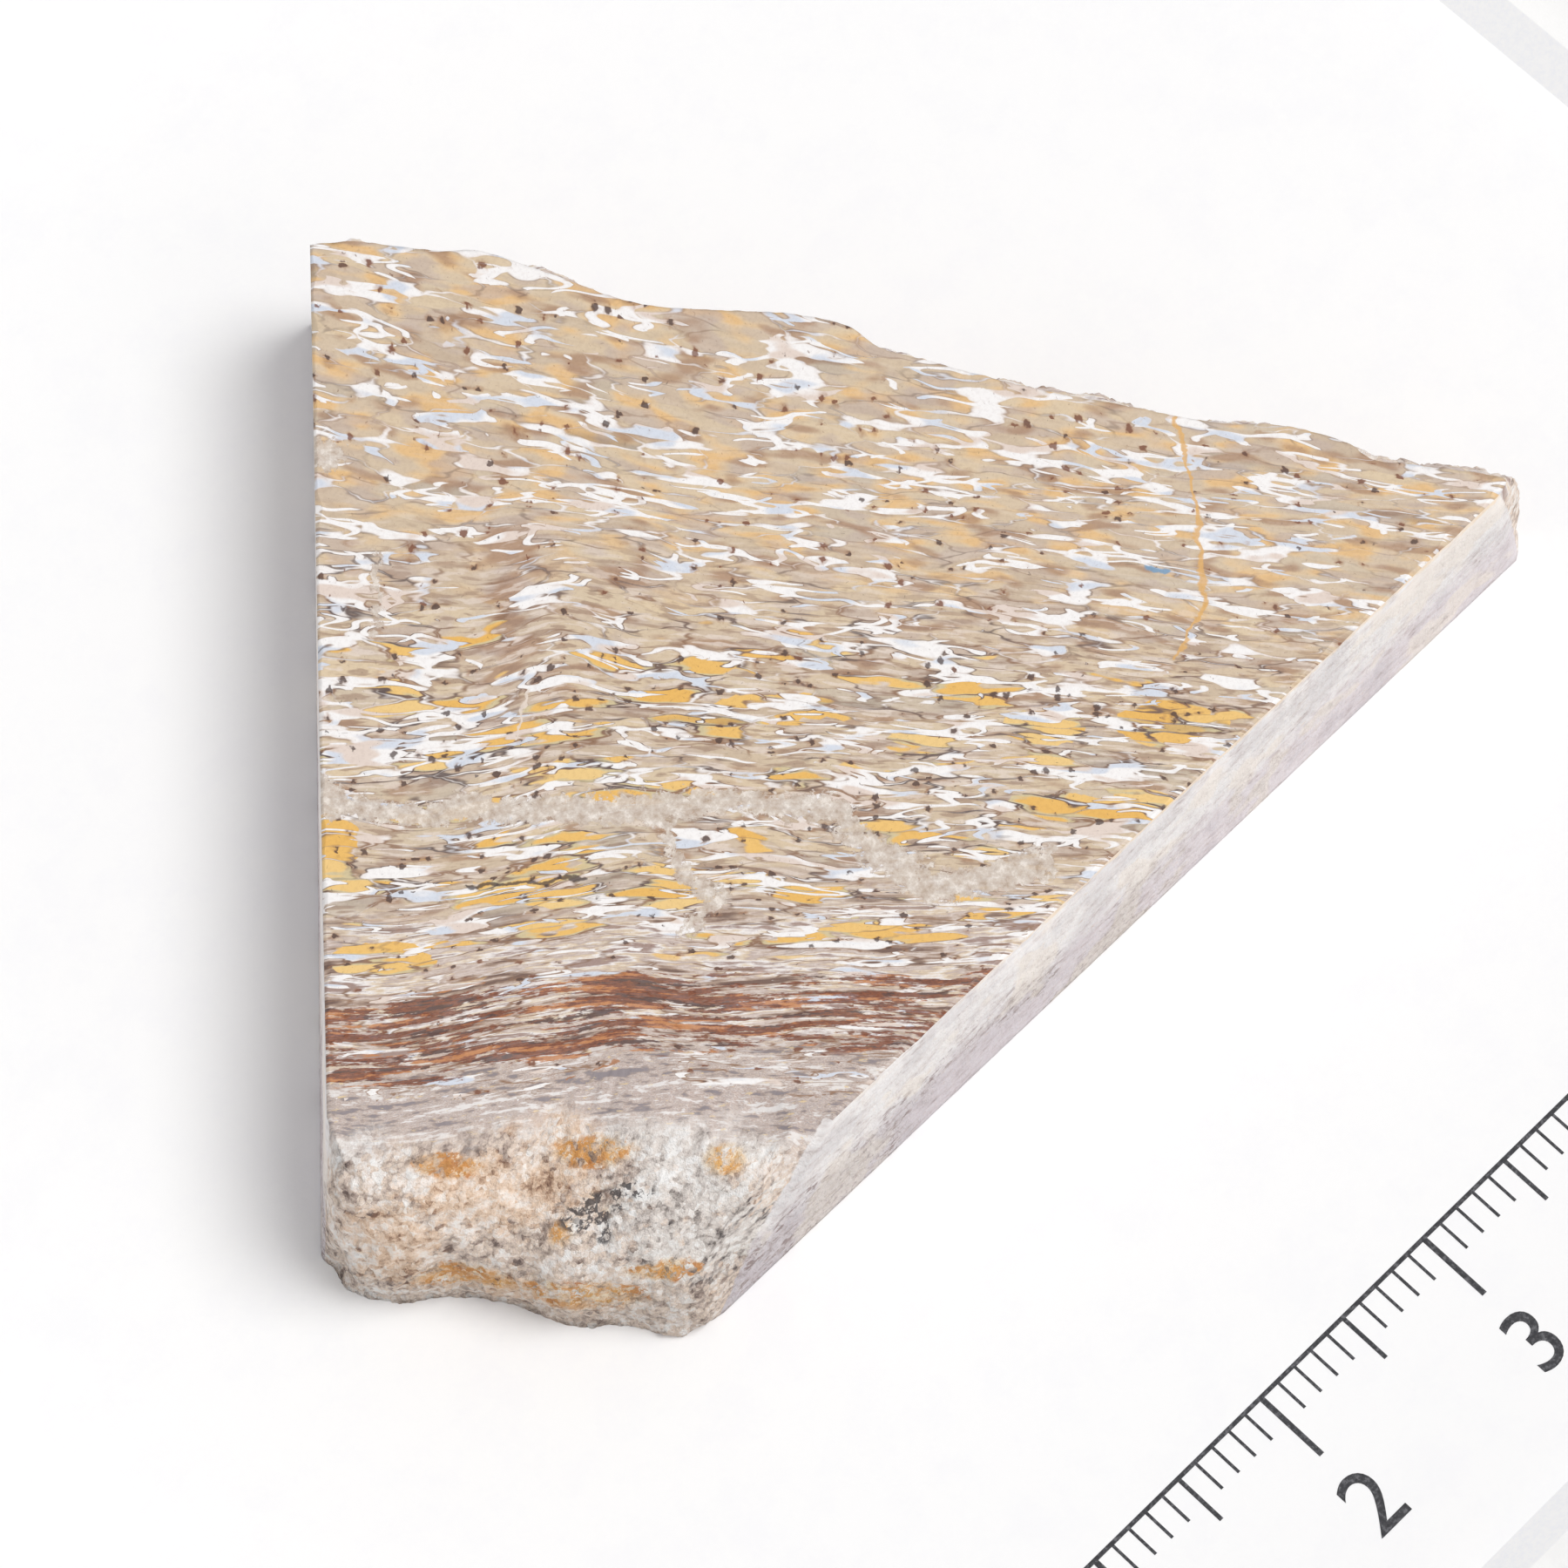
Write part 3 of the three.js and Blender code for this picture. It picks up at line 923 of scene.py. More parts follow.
# %% How thick the walls are
swell, wall_tone, line_tone = layer_clouds(top, top_spot, (3.4, 1.5), shift=20, detail=1.5)
swollen = 0.24 * white_zone + 1.7 * swell - 0.93
oval_reach = largest(0.8 - 0.75 * swollen, 0.28)
wall_width = largest(0.16 * swollen, 0.004)
into_cell = smallest(wall_distance - wall_width, oval_reach - soft_middle)
white_wall = fade(into_cell, 0.02, -0.04) * fade(swollen, 0.0, 0.06)
print("cells and walls:", len(top.tree.nodes), "nodes so far")

# %% [markdown]
# Other walls run on for several cells as long strands. The places where a cloud is close to its middle
# value form such lines: they wander, join and never end in a corner. A third cloud makes them thick
# here and thin there.

# %% Long white strands
strand_a, strand_b, strand_swell = layer_clouds(top, top_spot, (3.6, 1.15), shift=200, detail=1)
from_strand = smallest(abs(strand_a - 0.5), abs(strand_b - 0.5))
strand_width = 0.9 * strand_swell + 0.1 * white_zone - 0.545
past_strand = from_strand - smallest(strand_width, 0.045)
white_strand = fade(past_strand, 0.004, -0.008)
white_stone = largest(white_wall, white_strand)
past_white = smallest(into_cell, largest(5 * past_strand, -13 * strand_width))
outline = fade(abs(past_white), 0.065, 0.0)
print("white strands:", len(top.tree.nodes), "nodes so far")

# %% [markdown]
# ### Colours of the stone
#
# The filled cells are tan, each a little different. Soft clouds that pay no heed to the cells warm some
# places to orange and brown others. Only some cells are yellow, and a yellow cell keeps a tan rim.

# %% Tan stone with soft patches
TAN = [
    (0.00, tint(202, 182, 160)),
    (0.25, tint(218, 198, 170)),
    (0.50, tint(210, 190, 168)),
    (0.75, tint(224, 203, 172)),
    (1.00, tint(206, 191, 172)),
]
ORANGE_TAN = tint(232, 200, 156)
ORANGE = tint(235, 188, 124)
BROWN = tint(174, 138, 112)
MAUVE = tint(196, 178, 168)

warmth, browning, mottle = layer_clouds(top, top_spot, (2.5, 1.15), shift=80, detail=1.5)
filling = top.coats(
    ramp(pick_stone, TAN),
    (0.85 * fade(warmth, 0.46, 0.62) * warm_zone, ORANGE_TAN),
    (0.6 * fade(warmth, 0.57, 0.67) * warm_zone, ORANGE),
    (0.6 * (fade(mottle, 0.5, 0.64) + 0.5 * crushed_zone), MAUVE),
    (0.8 * fade(browning + 0.08 * crushed_zone, 0.56, 0.72), BROWN),
)

# %% Thin strands between the cells
STRAND_BROWN = tint(158, 128, 110)
STRAND_PALE = tint(236, 222, 211)
fine_tone, _, _ = layer_clouds(top, top_spot, (1.7, 0.42), shift=140, detail=2.5, roughness=0.55)
strand_zone = 0.62 - 0.52 * warm_zone
filling = top.coats(
    filling,
    (fade(fine_tone, 0.54, 0.64) * strand_zone, STRAND_BROWN),
    (fade(fine_tone, 0.45, 0.36) * strand_zone, STRAND_PALE),
)
print("tan stone:", len(top.tree.nodes), "nodes so far")

# %% [markdown]
# ### Fine layers
#
# Near the short end the cells give way to layers thinner than a hair, in grey, lilac and tan. A cloud
# that is stretched very long and very thin gives such layers, and a colour ramp picks a colour for
# each. The broken end shows them too, so they get a function.

# %% Fine layers
LAYERS = [
    (0.28, tint(122, 98, 88)),
    (0.37, tint(182, 158, 142)),
    (0.43, tint(222, 208, 200)),
    (0.48, tint(196, 178, 170)),
    (0.53, tint(224, 204, 178)),
    (0.59, tint(246, 241, 239)),
    (0.67, tint(168, 144, 136)),
]
FLECK_YELLOW = tint(232, 206, 160)
ASHES = [
    (0.29, tint(148, 139, 142)),
    (0.38, tint(174, 157, 149)),
    (0.43, tint(208, 192, 182)),
    (0.47, tint(178, 164, 161)),
    (0.51, tint(220, 208, 200)),
    (0.55, tint(184, 162, 152)),
    (0.60, tint(210, 198, 192)),
    (0.68, tint(236, 231, 228)),
]


def fine_layers(finish, spot, ashen):
    """Layers in many tones. Where it is ashen they are greyer, and broken up into short dashes."""
    long_tone, _, _ = layer_clouds(finish, spot, (5.5, 1.35), shift=300, detail=3, roughness=0.6)
    dash_tone, dash_hue, _ = layer_clouds(finish, spot, (0.8, 0.5), shift=340, detail=3, roughness=0.6)
    dash_share = 0.2 + 0.7 * ashen
    long_share = 1.1 - 0.2 * ashen
    tone = 0.5 + (long_tone - 0.5) * long_share + (dash_tone - 0.5) * dash_share
    layers = finish.mix(ashen, ramp(tone, LAYERS), ramp(tone, ASHES))
    return finish.mix(0.8 * fade(dash_hue, 0.66, 0.72) * ashen, layers, FLECK_YELLOW)


filling = top.mix(layered_zone, filling, fine_layers(top, top_spot, ashen_zone))
print("fine layers:", len(top.tree.nodes), "nodes so far")

# %% Yellow cells
YELLOW = [
    (0.0, tint(243, 208, 142)),
    (0.4, tint(243, 198, 118)),
    (1.0, tint(238, 186, 98)),
]
YELLOW_RIM = tint(214, 198, 158)

yellow_chance = pick_yellow + 0.7 * browning + 0.34 * yellow_zone
is_yellow = fade(yellow_chance, 1.38, 1.42) * fade(yellow_zone, 0.05, 0.3)
oval = from_middle + 0.5 * (mottle - 0.5) - 0.03 * yellow_zone
yellow_color = top.mix(fade(oval, 0.36, 0.48), ramp(pick_shade, YELLOW), YELLOW_RIM)
filling = top.mix(is_yellow * fade(oval, 0.6, 0.54), filling, yellow_color)
oval_line = is_yellow * fade(abs(oval - 0.57), 0.06, 0.0)
print("yellow cells:", len(top.tree.nodes), "nodes so far")

# %% White walls and thin dark lines
WALL_WHITE = tint(252, 250, 250)
WALL_BLUE = tint(218, 225, 238)
WALL_BLUSH = tint(232, 216, 206)
LINE_BROWN = tint(150, 116, 92)
LINE_DARK = tint(96, 82, 80)

wall = top.coats(
    WALL_WHITE,
    (fade(wall_tone, 0.53, 0.62), WALL_BLUE),
    (fade(line_tone, 0.6, 0.68), WALL_BLUSH),
    (0.45 * fade(past_white, -0.13, 0.0), WALL_BLUSH),
)
line = top.mix(fade(line_tone, 0.58, 0.44) * white_zone, LINE_BROWN, LINE_DARK)
line_share = (0.1 + 0.75 * fade(mottle, 0.4, 0.58)) * (1.1 - 0.55 * warm_zone) + 0.25 * is_yellow
stone = top.coats(
    filling,
    (0.8 * fade(pick_stone, 0.95, 0.96) * swollen, LINE_DARK),
    (white_stone, wall),
    (largest(outline, oval_line) * line_share, line),
)
print("walls and lines:", len(top.tree.nodes), "nodes so far")

# %% [markdown]
# ### Specks
#
# Iron left small specks, most of them beside the walls. They come from a second, finer Voronoi pattern:
# the distance to its points gives round dots, and each dot's own random number sets how big it is, or
# leaves it out. A wide, weak dot under each one is the stain that has spread round it.

# %% Specks
SPECK_SPACING = (0.55, 0.8)
SPECK_RED = tint(126, 80, 60)
SPECK_DARK = tint(80, 62, 58)
STAIN_BROWN = tint(164, 118, 84)

speck_place = top.stretched(top_spot[0], top_spot[1], 0, (*SPECK_SPACING, 1))
speck_place = top.bent(speck_place, 2.5, (0.5, 0.5, 0), flat=True)
speck_distance = top.cells(speck_place, flat=True)
speck_pick, speck_tone, _ = top.split(speck_distance.beside("Color"))
speck_crowd = 0.88 - 0.18 * fade(browning, 0.48, 0.62) - 0.12 * crushed_zone - 0.08 * yellow_zone
beside_white = fade(past_white, 0.24, 0.12)
beside_line = largest(beside_white, is_yellow * fade(oval, 0.45, 0.55))
speck_size = 0.28 * fade(speck_pick, speck_crowd, 1.0) * beside_line
speck = fade(speck_distance - speck_size, 0.08, -0.06)
halo = 0.6 * fade(speck_distance, 0.6, 0.1) * fade(speck_size, 0.04, 0.15)
speck_color = top.mix(fade(speck_tone + yellow_zone, 0.5, 0.8), SPECK_RED, SPECK_DARK)
stone = top.coats(
    stone,
    (halo * fade(white_wall, 0.6, 0.2), STAIN_BROWN),
    (0.85 * speck, speck_color),
)
print("specks:", len(top.tree.nodes), "nodes so far")

# %% [markdown]
# ### The rust band
#
# One bundle of layers is stained rust brown. Strands of rust lie between paler ones, so a long, thin
# cloud chooses where there is rust, and a second one gives it its tone. A fine cloud is added to both,
# because the strands are gritty and broken up.

# %% Rust strands
RUST = [
    (0.34, tint(200, 134, 84)),
    (0.41, tint(152, 88, 56)),
    (0.49, tint(106, 60, 44)),
    (0.56, tint(144, 84, 56)),
    (0.64, tint(86, 60, 56)),
]


def rust_layers(finish, spot, below, rust_zone):
    """Rust strands laid over the colour below them."""
    strand, tone, _ = layer_clouds(finish, spot, (4.6, 0.8), shift=360, detail=4, roughness=0.6)
    patch, broken_up, _ = layer_clouds(finish, spot, (4.0, 2.0), shift=420, detail=4, roughness=0.7)
    grit, grit_tone, _ = layer_clouds(finish, spot, (0.7, 0.4), shift=460, detail=3, roughness=0.7)
    chance = 0.8 * strand + 0.26 * patch + 0.24 * rust_zone + 0.14 * broken_up + 0.3 * grit
    amount = fade(chance, 0.91, 0.97) * fade(rust_zone, 0.1, 0.5)
    tone = tone + 0.5 * (grit_tone - 0.5)
    return finish.mix(0.9 * amount, below, ramp(tone, RUST))


top_color = rust_layers(top, top_spot, stone, rust_zone)
print("rust:", len(top.tree.nodes), "nodes so far")

# %% [markdown]
# ### Calcite in the veins
#
# The mesh knows how far each point is from the nearest vein. Adding a cloud to that distance makes the
# vein's edge ragged. The calcite itself is a heap of small, clear crystals, so a fine cloud picks its
# tone, and a thin brown line runs along parts of its edge.

# %% Veins
GRAINY = [
    (0.28, tint(184, 165, 148)),
    (0.42, tint(206, 191, 178)),
    (0.54, tint(217, 206, 195)),
    (0.70, tint(244, 236, 228)),
]
crystals, ragging, polish = top.three_clouds(top.place(), scale=1.9, detail=4, roughness=0.7, flat=True)
vein_edge = vein_gap + 1.7 * (ragging - 0.5) + 0.04
in_vein = fade(vein_edge, 0.1, -0.1)
vein_rim = 0.45 * fade(abs(vein_edge), 0.1, 0.0) * fade(polish, 0.44, 0.6)
top_color = top.coats(
    top_color,
    (0.92 * in_vein, ramp(crystals, GRAINY)),
    (vein_rim, LINE_BROWN),
)
print("veins:", len(top.tree.nodes), "nodes so far")

# %% [markdown]
# ### Cracks
#
# A few cracks are thinner than the spacing of the mesh's points, so the mesh can't store them. Their
# distance is worked out by nodes: how far along the crack the nearest point is, and how far away.

# %% Hairline cracks
CRACK_ORANGE = tint(228, 178, 108)
CRACK_PALE = tint(236, 222, 210)
CRACKS = [  # ends along and across, half width, colour
    ((20.7, 10.8), (21.5, 6.2), 0.07, CRACK_ORANGE),
    ((21.5, 6.2), (21.7, 1.8), 0.11, CRACK_ORANGE),
    ((21.7, 1.8), (20.4, -0.8), 0.07, CRACK_ORANGE),
    ((-7.0, -2.2), (-7.5, -4.4), 0.05, CRACK_PALE),
    ((-5.1, -19.9), (-4.1, -19.7), 0.05, tint(176, 118, 76)),
    ((-4.1, -19.7), (-3.0, -19.0), 0.05, tint(176, 118, 76)),
    ((-9.4, -11.3), (-4.6, -10.9), 0.08, tint(72, 60, 60)),
    ((19.3, 3.5), (20.2, 3.4), 0.12, tint(112, 158, 196)),
]


def crack_amount(finish, place, start, end, half_width):
    """1 on the straight crack between two ends, 0 away from it."""
    start, end = Vector((*start, 0)), Vector((*end, 0))
    reach = end - start
    offset = finish.vector_math("SUBTRACT", place, start)
    along_crack = finish.vector_math("DOT_PRODUCT", offset, reach, output="Value")
    share = finish.math("MULTIPLY", along_crack, 1 / reach.length_squared, clamp=True)
    nearest = finish.node("VectorMath", {0: reach, "Scale": share}, operation="SCALE")
    gap = finish.vector_math("DISTANCE", offset, nearest, output="Value")
    return fade(gap, 1.6 * half_width, 0.6 * half_width)


crack_place = top.bent(top.place(LAYER_TURN), 1.3, (0.7, 0.7, 0), detail=3, flat=True)
crack_place = top.vector_math("MULTIPLY", crack_place, (1, 1, 0))
for start, end, half_width, crack_color in CRACKS:
    amount = crack_amount(top, crack_place, start, end, half_width)
    top_color = top.mix(0.85 * amount, top_color, crack_color)
print("cracks:", len(CRACKS), "stretches,", len(top.tree.nodes), "nodes so far")

# %% [markdown]
# ### Gloss
#
# The top was sawn and only roughly polished. Its gloss changes a little from place to place, calcite is
# duller than the rest, and the saw left marks that only show where light glances off them. They are
# too small for the mesh, so a bump stands in for them.

# %% Gloss and fine relief of the sawn top
GRIT_LIGHT = tint(255, 254, 252)
GRIT_DARK = tint(248, 246, 244)
fine_grit = top.cloud(top.place(), scale=5, detail=2, roughness=0.7, flat=True)
grit_shade = ramp(fine_grit, [(0.36, GRIT_DARK), (0.54, GRIT_LIGHT)])
top_color = top.mix(1.0, top_color, grit_shade, blend="MULTIPLY")
top_roughness = 0.34 + 0.26 * polish + 0.15 * in_vein
saw_marks = top.cloud(top.place(), scale=1.6, detail=3, roughness=0.7, flat=True)
top_relief = top.bump(saw_marks, 0.03, strength=0.35)
slice_stone.data.materials.append(top.finish(top_color, top_roughness, top_relief))
print("sawn top:", len(top.tree.nodes), "nodes")

# %% [markdown]
# ## The finish of the sides
#
# The broken end shows raw grains in beige, pink and grey with orange stains. The sawn sides are
# duller than the top, because the saw left them rough, and paler: partly the paleness of sawn stone,
# partly painted light for the strong light on the right sawn side. A wide cloud gives them patches of
# cream and of cool grey, and their lower half is crumbly near the broken end. One finish covers both
# kinds of side, and the mesh's numbers say where it is which.

# %% Sawn sides
# Pale tones of the sawn sides; part of their paleness is painted light for the bright light on the right
# sawn side.
PALE_WITH_PAINTED_LIGHT = [
    (0.27, tint(196, 182, 180)),
    (0.36, tint(230, 222, 219)),
    (0.46, tint(248, 243, 241)),
    (0.60, tint(255, 253, 252)),
    (0.72, tint(244, 230, 218)),
]
# Cream for the sawn top edge: partly small chips, partly a painted highlight where the edge catches the
# light.
EDGE_CREAM_CHIPS_AND_HIGHLIGHT = tint(252, 224, 184)
PALE_CREAM = tint(253, 243, 232)
COOL_GREY = tint(235, 234, 236)
LILAC = tint(234, 228, 234)
# Brown for streaks, and also for painted shade in the gaps between crumbs.
STREAK_AND_GAP_SHADE_BROWN = tint(176, 158, 156)

side = Finish("fossil_bone_sides")
side_spot = read_marks(side, "bone_place")
broken_here, raw_here, below_top_here = read_marks(side, "bone_wall")
_, side_rust, _ = read_marks(side, "bone_mark")
peach_here, side_ashen, _ = read_marks(side, "bone_tone")
orange_here, black_here, grey_here = read_marks(side, "bone_stain")

on_card = side.place()
broad = side.cloud(on_card, scale=0.28, detail=2, roughness=0.6) - 0.5
streak, blotch, grit = side.three_clouds(side.scaled(on_card, (1.1, 1.1, 2.3)), detail=5, roughness=0.72)
pale = ramp(streak, PALE_WITH_PAINTED_LIGHT)
lower_half = fade(below_top_here + 6 * (blotch - 0.5), 3.5, 6.0)
pale = side.mix(0.8 * lower_half, pale, LILAC, blend="MULTIPLY")
crumbly = fade(broad - 0.012 * side_spot[0], -0.3, -0.1)
crumbs_here = lower_half * crumbly
pale = side.coats(
    pale,
    (fade(blotch, 0.53, 0.6) * (0.12 + crumbs_here), STREAK_AND_GAP_SHADE_BROWN),
    (0.6 * fade(broad, 0.02, 0.1), PALE_CREAM),
)
cool_amount = fade(broad + 0.5 * (blotch - 0.5), -0.02, -0.12)
pale = side.mix(0.7 * cool_amount, pale, COOL_GREY, blend="MULTIPLY")
# Near the far end the top edge of the sawn side turns cream: partly chips, partly a painted highlight of
# the lit edge.
from_edge = below_top_here + 1.6 * (grit - 0.5)
chipped_and_lit_edge = 0.6 * fade(from_edge, 0.55, 0.1) * fade(side_spot[0], 9, 16)
pale = side.mix(chipped_and_lit_edge, pale, EDGE_CREAM_CHIPS_AND_HIGHLIGHT)
print("sawn sides:", len(side.tree.nodes), "nodes so far")

# %% [markdown]
# ### Broken grains
#
# Broken stone is a heap of grains of many sizes. Two Voronoi patterns give each grain its own tone,
# a cloud gives lighter and darker patches, and painted shade darkens the gaps between the grains. The
# stains are laid over that. A stain keeps to the grains too, so its strength is mixed with the same
# clouds.

# %% Raw grains of the broken end
GRAINS = [
    (0.18, tint(118, 102, 96)),
    (0.30, tint(180, 160, 148)),
    (0.40, tint(216, 198, 186)),
    (0.50, tint(236, 216, 198)),
    (0.62, tint(248, 236, 227)),
    (0.80, tint(255, 252, 248)),
]
# Brown for painted shade in the gaps between grains.
GAP_SHADE_BROWN = tint(150, 134, 124)
GRAINS_PEACH = [
    (0.18, tint(140, 104, 84)),
    (0.30, tint(204, 166, 136)),
    (0.42, tint(238, 206, 176)),
    (0.54, tint(246, 218, 194)),
    (0.70, tint(255, 242, 230)),
]
GRAINS_GREY = [
    (0.18, tint(98, 94, 94)),
    (0.30, tint(174, 167, 162)),
    (0.42, tint(223, 216, 211)),
    (0.54, tint(238, 233, 228)),
    (0.70, tint(255, 254, 252)),
]
in_layers = side.scaled(on_card, (0.8, 1.4, 1.4), LAYER_TURN)
coarse, patchy, _ = side.three_clouds(in_layers, detail=6, roughness=0.78)
from_fine = side.cells(side.scaled(on_card, (3.6,) * 3))
from_large = side.cells(side.bent(side.scaled(on_card, (1.5,) * 3), 1.5, (0.9,) * 3))
fine_tone, fine_pick, _ = side.split(from_fine.beside("Color"))
large_tone, _, _ = side.split(from_large.beside("Color"))
grain_tone = 0.28 * fine_tone + 0.14 * large_tone + 1.4 * coarse + 0.5 * broad - 0.4
# Painted shade: the gaps between grains are darkened as if in crevices, which the mesh is too coarse to
# show.
gap_shade = 0.6 * fade(from_fine, 0.55, 0.85) * fade(coarse, 0.6, 0.45)
raw_color = side.mix(gap_shade, ramp(grain_tone, GRAINS), GAP_SHADE_BROWN)
print("raw grains:", len(side.tree.nodes), "nodes so far")

# %% Stains on the grains
OCHRE = [(0.3, tint(240, 190, 116)), (0.5, tint(222, 156, 80)), (0.7, tint(190, 118, 66))]
OCHRE_GLOW = tint(254, 232, 196)
SOOT = tint(78, 74, 76)
LINE_WIDTH = 0.05  # how close to its middle value a cloud is where a stain runs as a line


def lines_of(signal):
    """The thin, wandering lines where a cloud passes its middle value."""
    return fade(abs(signal - 0.5), LINE_WIDTH, LINE_WIDTH / 5)


hue_shift = 2.6 * (patchy - 0.5) - 1.6 * broad
hue_speckle = 0.5 * (fine_pick - 0.5)
peach_amount = fade(peach_here + hue_shift + hue_speckle, 0.35, 1.0)
grey_amount = fade(grey_here - 0.8 * hue_shift - hue_speckle, 0.25, 0.85)
raw_color = side.coats(
    raw_color,
    (0.8 * peach_amount, ramp(grain_tone, GRAINS_PEACH)),
    (0.8 * grey_amount, ramp(grain_tone, GRAINS_GREY)),
)
stain_place = side.scaled(on_card, (0.5, 0.9, 0.9), LAYER_TURN)
ochre_cloud, ochre_tone, soot_cloud = side.three_clouds(stain_place, detail=5, roughness=0.7)
ochre_grain = fade(fine_pick, 0.45, 0.58) * fade(ochre_tone, 0.42, 0.52)
ochre_reach = fade(orange_here + 2.4 * (ochre_tone - 0.5), 0.2, 0.6) * fade(orange_here, 0.02, 0.2)
ochre = largest(lines_of(ochre_cloud), ochre_grain) * ochre_reach * fade(fine_tone, 0.05, 0.4)
soot = fade(black_here, 0.1, 0.6) * largest(lines_of(soot_cloud), fade(fine_pick, 0.8, 0.86))
ochre_glow = 0.8 * fade(orange_here, 0.0, 0.6) * fade(patchy, 0.38, 0.54)
raw_color = side.mix(ochre_glow, raw_color, OCHRE_GLOW, blend="MULTIPLY")
raw_color = side.coats(
    raw_color,
    (0.9 * ochre, ramp(ochre_tone, OCHRE)),
    (0.9 * soot, SOOT),
)
print("stains:", len(side.tree.nodes), "nodes so far")

# %% Join the sides
side_layers = rust_layers(side, side_spot, fine_layers(side, side_spot, side_ashen), side_rust)
broken_color = side.mix(raw_here, side_layers, raw_color)
pale = side.mix(0.07, pale, side_layers, blend="MULTIPLY")
# Painted shade in the gaps between the crumbs of the lower half.
pale = side.mix(gap_shade * (0.05 + crumbs_here), pale, STREAK_AND_GAP_SHADE_BROWN)
broken_edge = fade(broken_here + 0.8 * (grit - 0.5), 0.4, 0.6)
side_color = side.mix(broken_edge, pale, broken_color)
relief_tone = side.cloud(on_card, scale=2.4, detail=4, roughness=0.75) + 0.3 * streak
relief_share = 0.2 + 0.7 * raw_here + 0.8 * crumbs_here
side_relief = side.bump(relief_tone, 0.24, strength=relief_share)
side_roughness = 0.6 + 0.3 * grit
slice_stone.data.materials.append(side.finish(side_color, side_roughness, side_relief))
print("sides:", len(side.tree.nodes), "nodes")

# %% [markdown]
# ## The rails of the frame
#
# Four lengths of wood, cut at 45 degrees and glued at the corners, make the frame. A step at the back
# of each one, the rebate, holds the mat and the board. Thick paint has rounded the edges. A bevel
# modifier could round them too, but sweeping a section that is already rounded gives even faces and
# both slanted ends at once.

# %% Section of a rail
RAIL_WIDTH = 14
REBATE_WIDTH = 6
REBATE_DEPTH = 8
PAINTED_EDGE = 1.2
REBATE_EDGE = 0.3
ARC_STEPS = 6
LIP = RAIL_WIDTH - REBATE_WIDTH

RAIL_CORNERS = [  # distance in from the outside, height, radius
    (0, 0, PAINTED_EDGE),
    (LIP, 0, REBATE_EDGE),
    (LIP, REBATE_DEPTH, REBATE_EDGE),
    (RAIL_WIDTH, REBATE_DEPTH, REBATE_EDGE),
    (RAIL_WIDTH, FRAME_DEPTH, PAINTED_EDGE),
    (0, FRAME_DEPTH, PAINTED_EDGE),
]


def rounded_section(corners):
    """Each square corner becomes a quarter of a circle."""
    outline = []
    for number, (*corner, radius) in enumerate(corners):
        corner = np.array(corner, dtype=float)
        before = np.array(corners[number - 1][:2]) - corner
        after = np.array(corners[(number + 1) % len(corners)][:2]) - corner
        before, after = before / np.linalg.norm(before), after / np.linalg.norm(after)
        centre = corner + radius * (before + after)
        for turn in np.linspace(0, math.pi / 2, ARC_STEPS + 1):
            outline.append(centre - radius * (math.cos(turn) * after + math.sin(turn) * before))
    return np.array(outline)


section = rounded_section(RAIL_CORNERS)
print("section of a rail:", len(section), "points")

# %% A helper that makes a piece
def new_piece(name, points, faces):
    """A closed mesh from points in millimetres, with its faces turned outwards."""
    mesh = bpy.data.meshes.new(name)
    mesh.from_pydata([tuple(point) for point in np.array(points) * MM], [], faces)
    shell = bmesh.new()
    shell.from_mesh(mesh)
    bmesh.ops.recalc_face_normals(shell, faces=shell.faces)
    shell.to_mesh(mesh)
    shell.free()
    piece = bpy.data.objects.new(name, mesh)
    bpy.context.scene.collection.objects.link(piece)
    return piece


# %% Sweep a rail
MITRE_GAP = 0.06
RAIL_STATIONS = 49


def rail_points(turn):
    """Points of a rail: the lower one, turned about the middle of the frame."""
    inset, height = section.T
    reach = FRAME_HALF - inset - MITRE_GAP / math.sqrt(2)
    share = np.linspace(-1, 1, RAIL_STATIONS)[:, None]
    x, y = share * reach, np.broadcast_to(inset - FRAME_HALF, (RAIL_STATIONS, len(section)))
    z = np.broadcast_to(height, x.shape)
    turned = (x * math.cos(turn) - y * math.sin(turn), x * math.sin(turn) + y * math.cos(turn), z)
    return np.stack(turned, axis=2).reshape(-1, 3)


def swept_faces(stations, around):
    """Faces between the stations, and the triangles that close the first and the last."""
    faces = []
    for station in range(stations - 1):
        for step in range(around):
            ahead = (step + 1) % around
            here, after = station * around, (station + 1) * around
            faces.append((here + step, here + ahead, after + ahead, after + step))
    _, cap = filled(section, None)
    last = (stations - 1) * around
    return faces + [tuple(face) for face in cap] + [tuple(last + i for i in face) for face in cap]


rail_faces = swept_faces(RAIL_STATIONS, len(section))
print("faces of a rail:", len(rail_faces))

# %% Make the four rails
RAIL_TURNS = {"rail_bottom": 0, "rail_right": 90, "rail_top": 180, "rail_left": 270}
SHARP_ANGLE = 35
rails = {}
for node_name, degrees in RAIL_TURNS.items():
    rail = new_piece("painted_" + node_name, rail_points(math.radians(degrees)), rail_faces)
    rail.data.shade_smooth()
    rail.data.set_sharp_from_angle(angle=math.radians(SHARP_ANGLE))
    rail.modifiers.new("flats_stay_flat", "WEIGHTED_NORMAL").keep_sharp = True
    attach(rail, "root")
    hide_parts(node_name)
    rails[node_name] = rail
print("rails:", list(rails))

# %% [markdown]
# ### White paint
#
# The paint is satin white. Brushed paint keeps fine ridges along the wood, and the wood's grain shows
# through it as a faint relief. Both are clouds stretched along the rail. Two rails lie across the
# other two, so the finish is made twice, with the clouds turned a quarter.


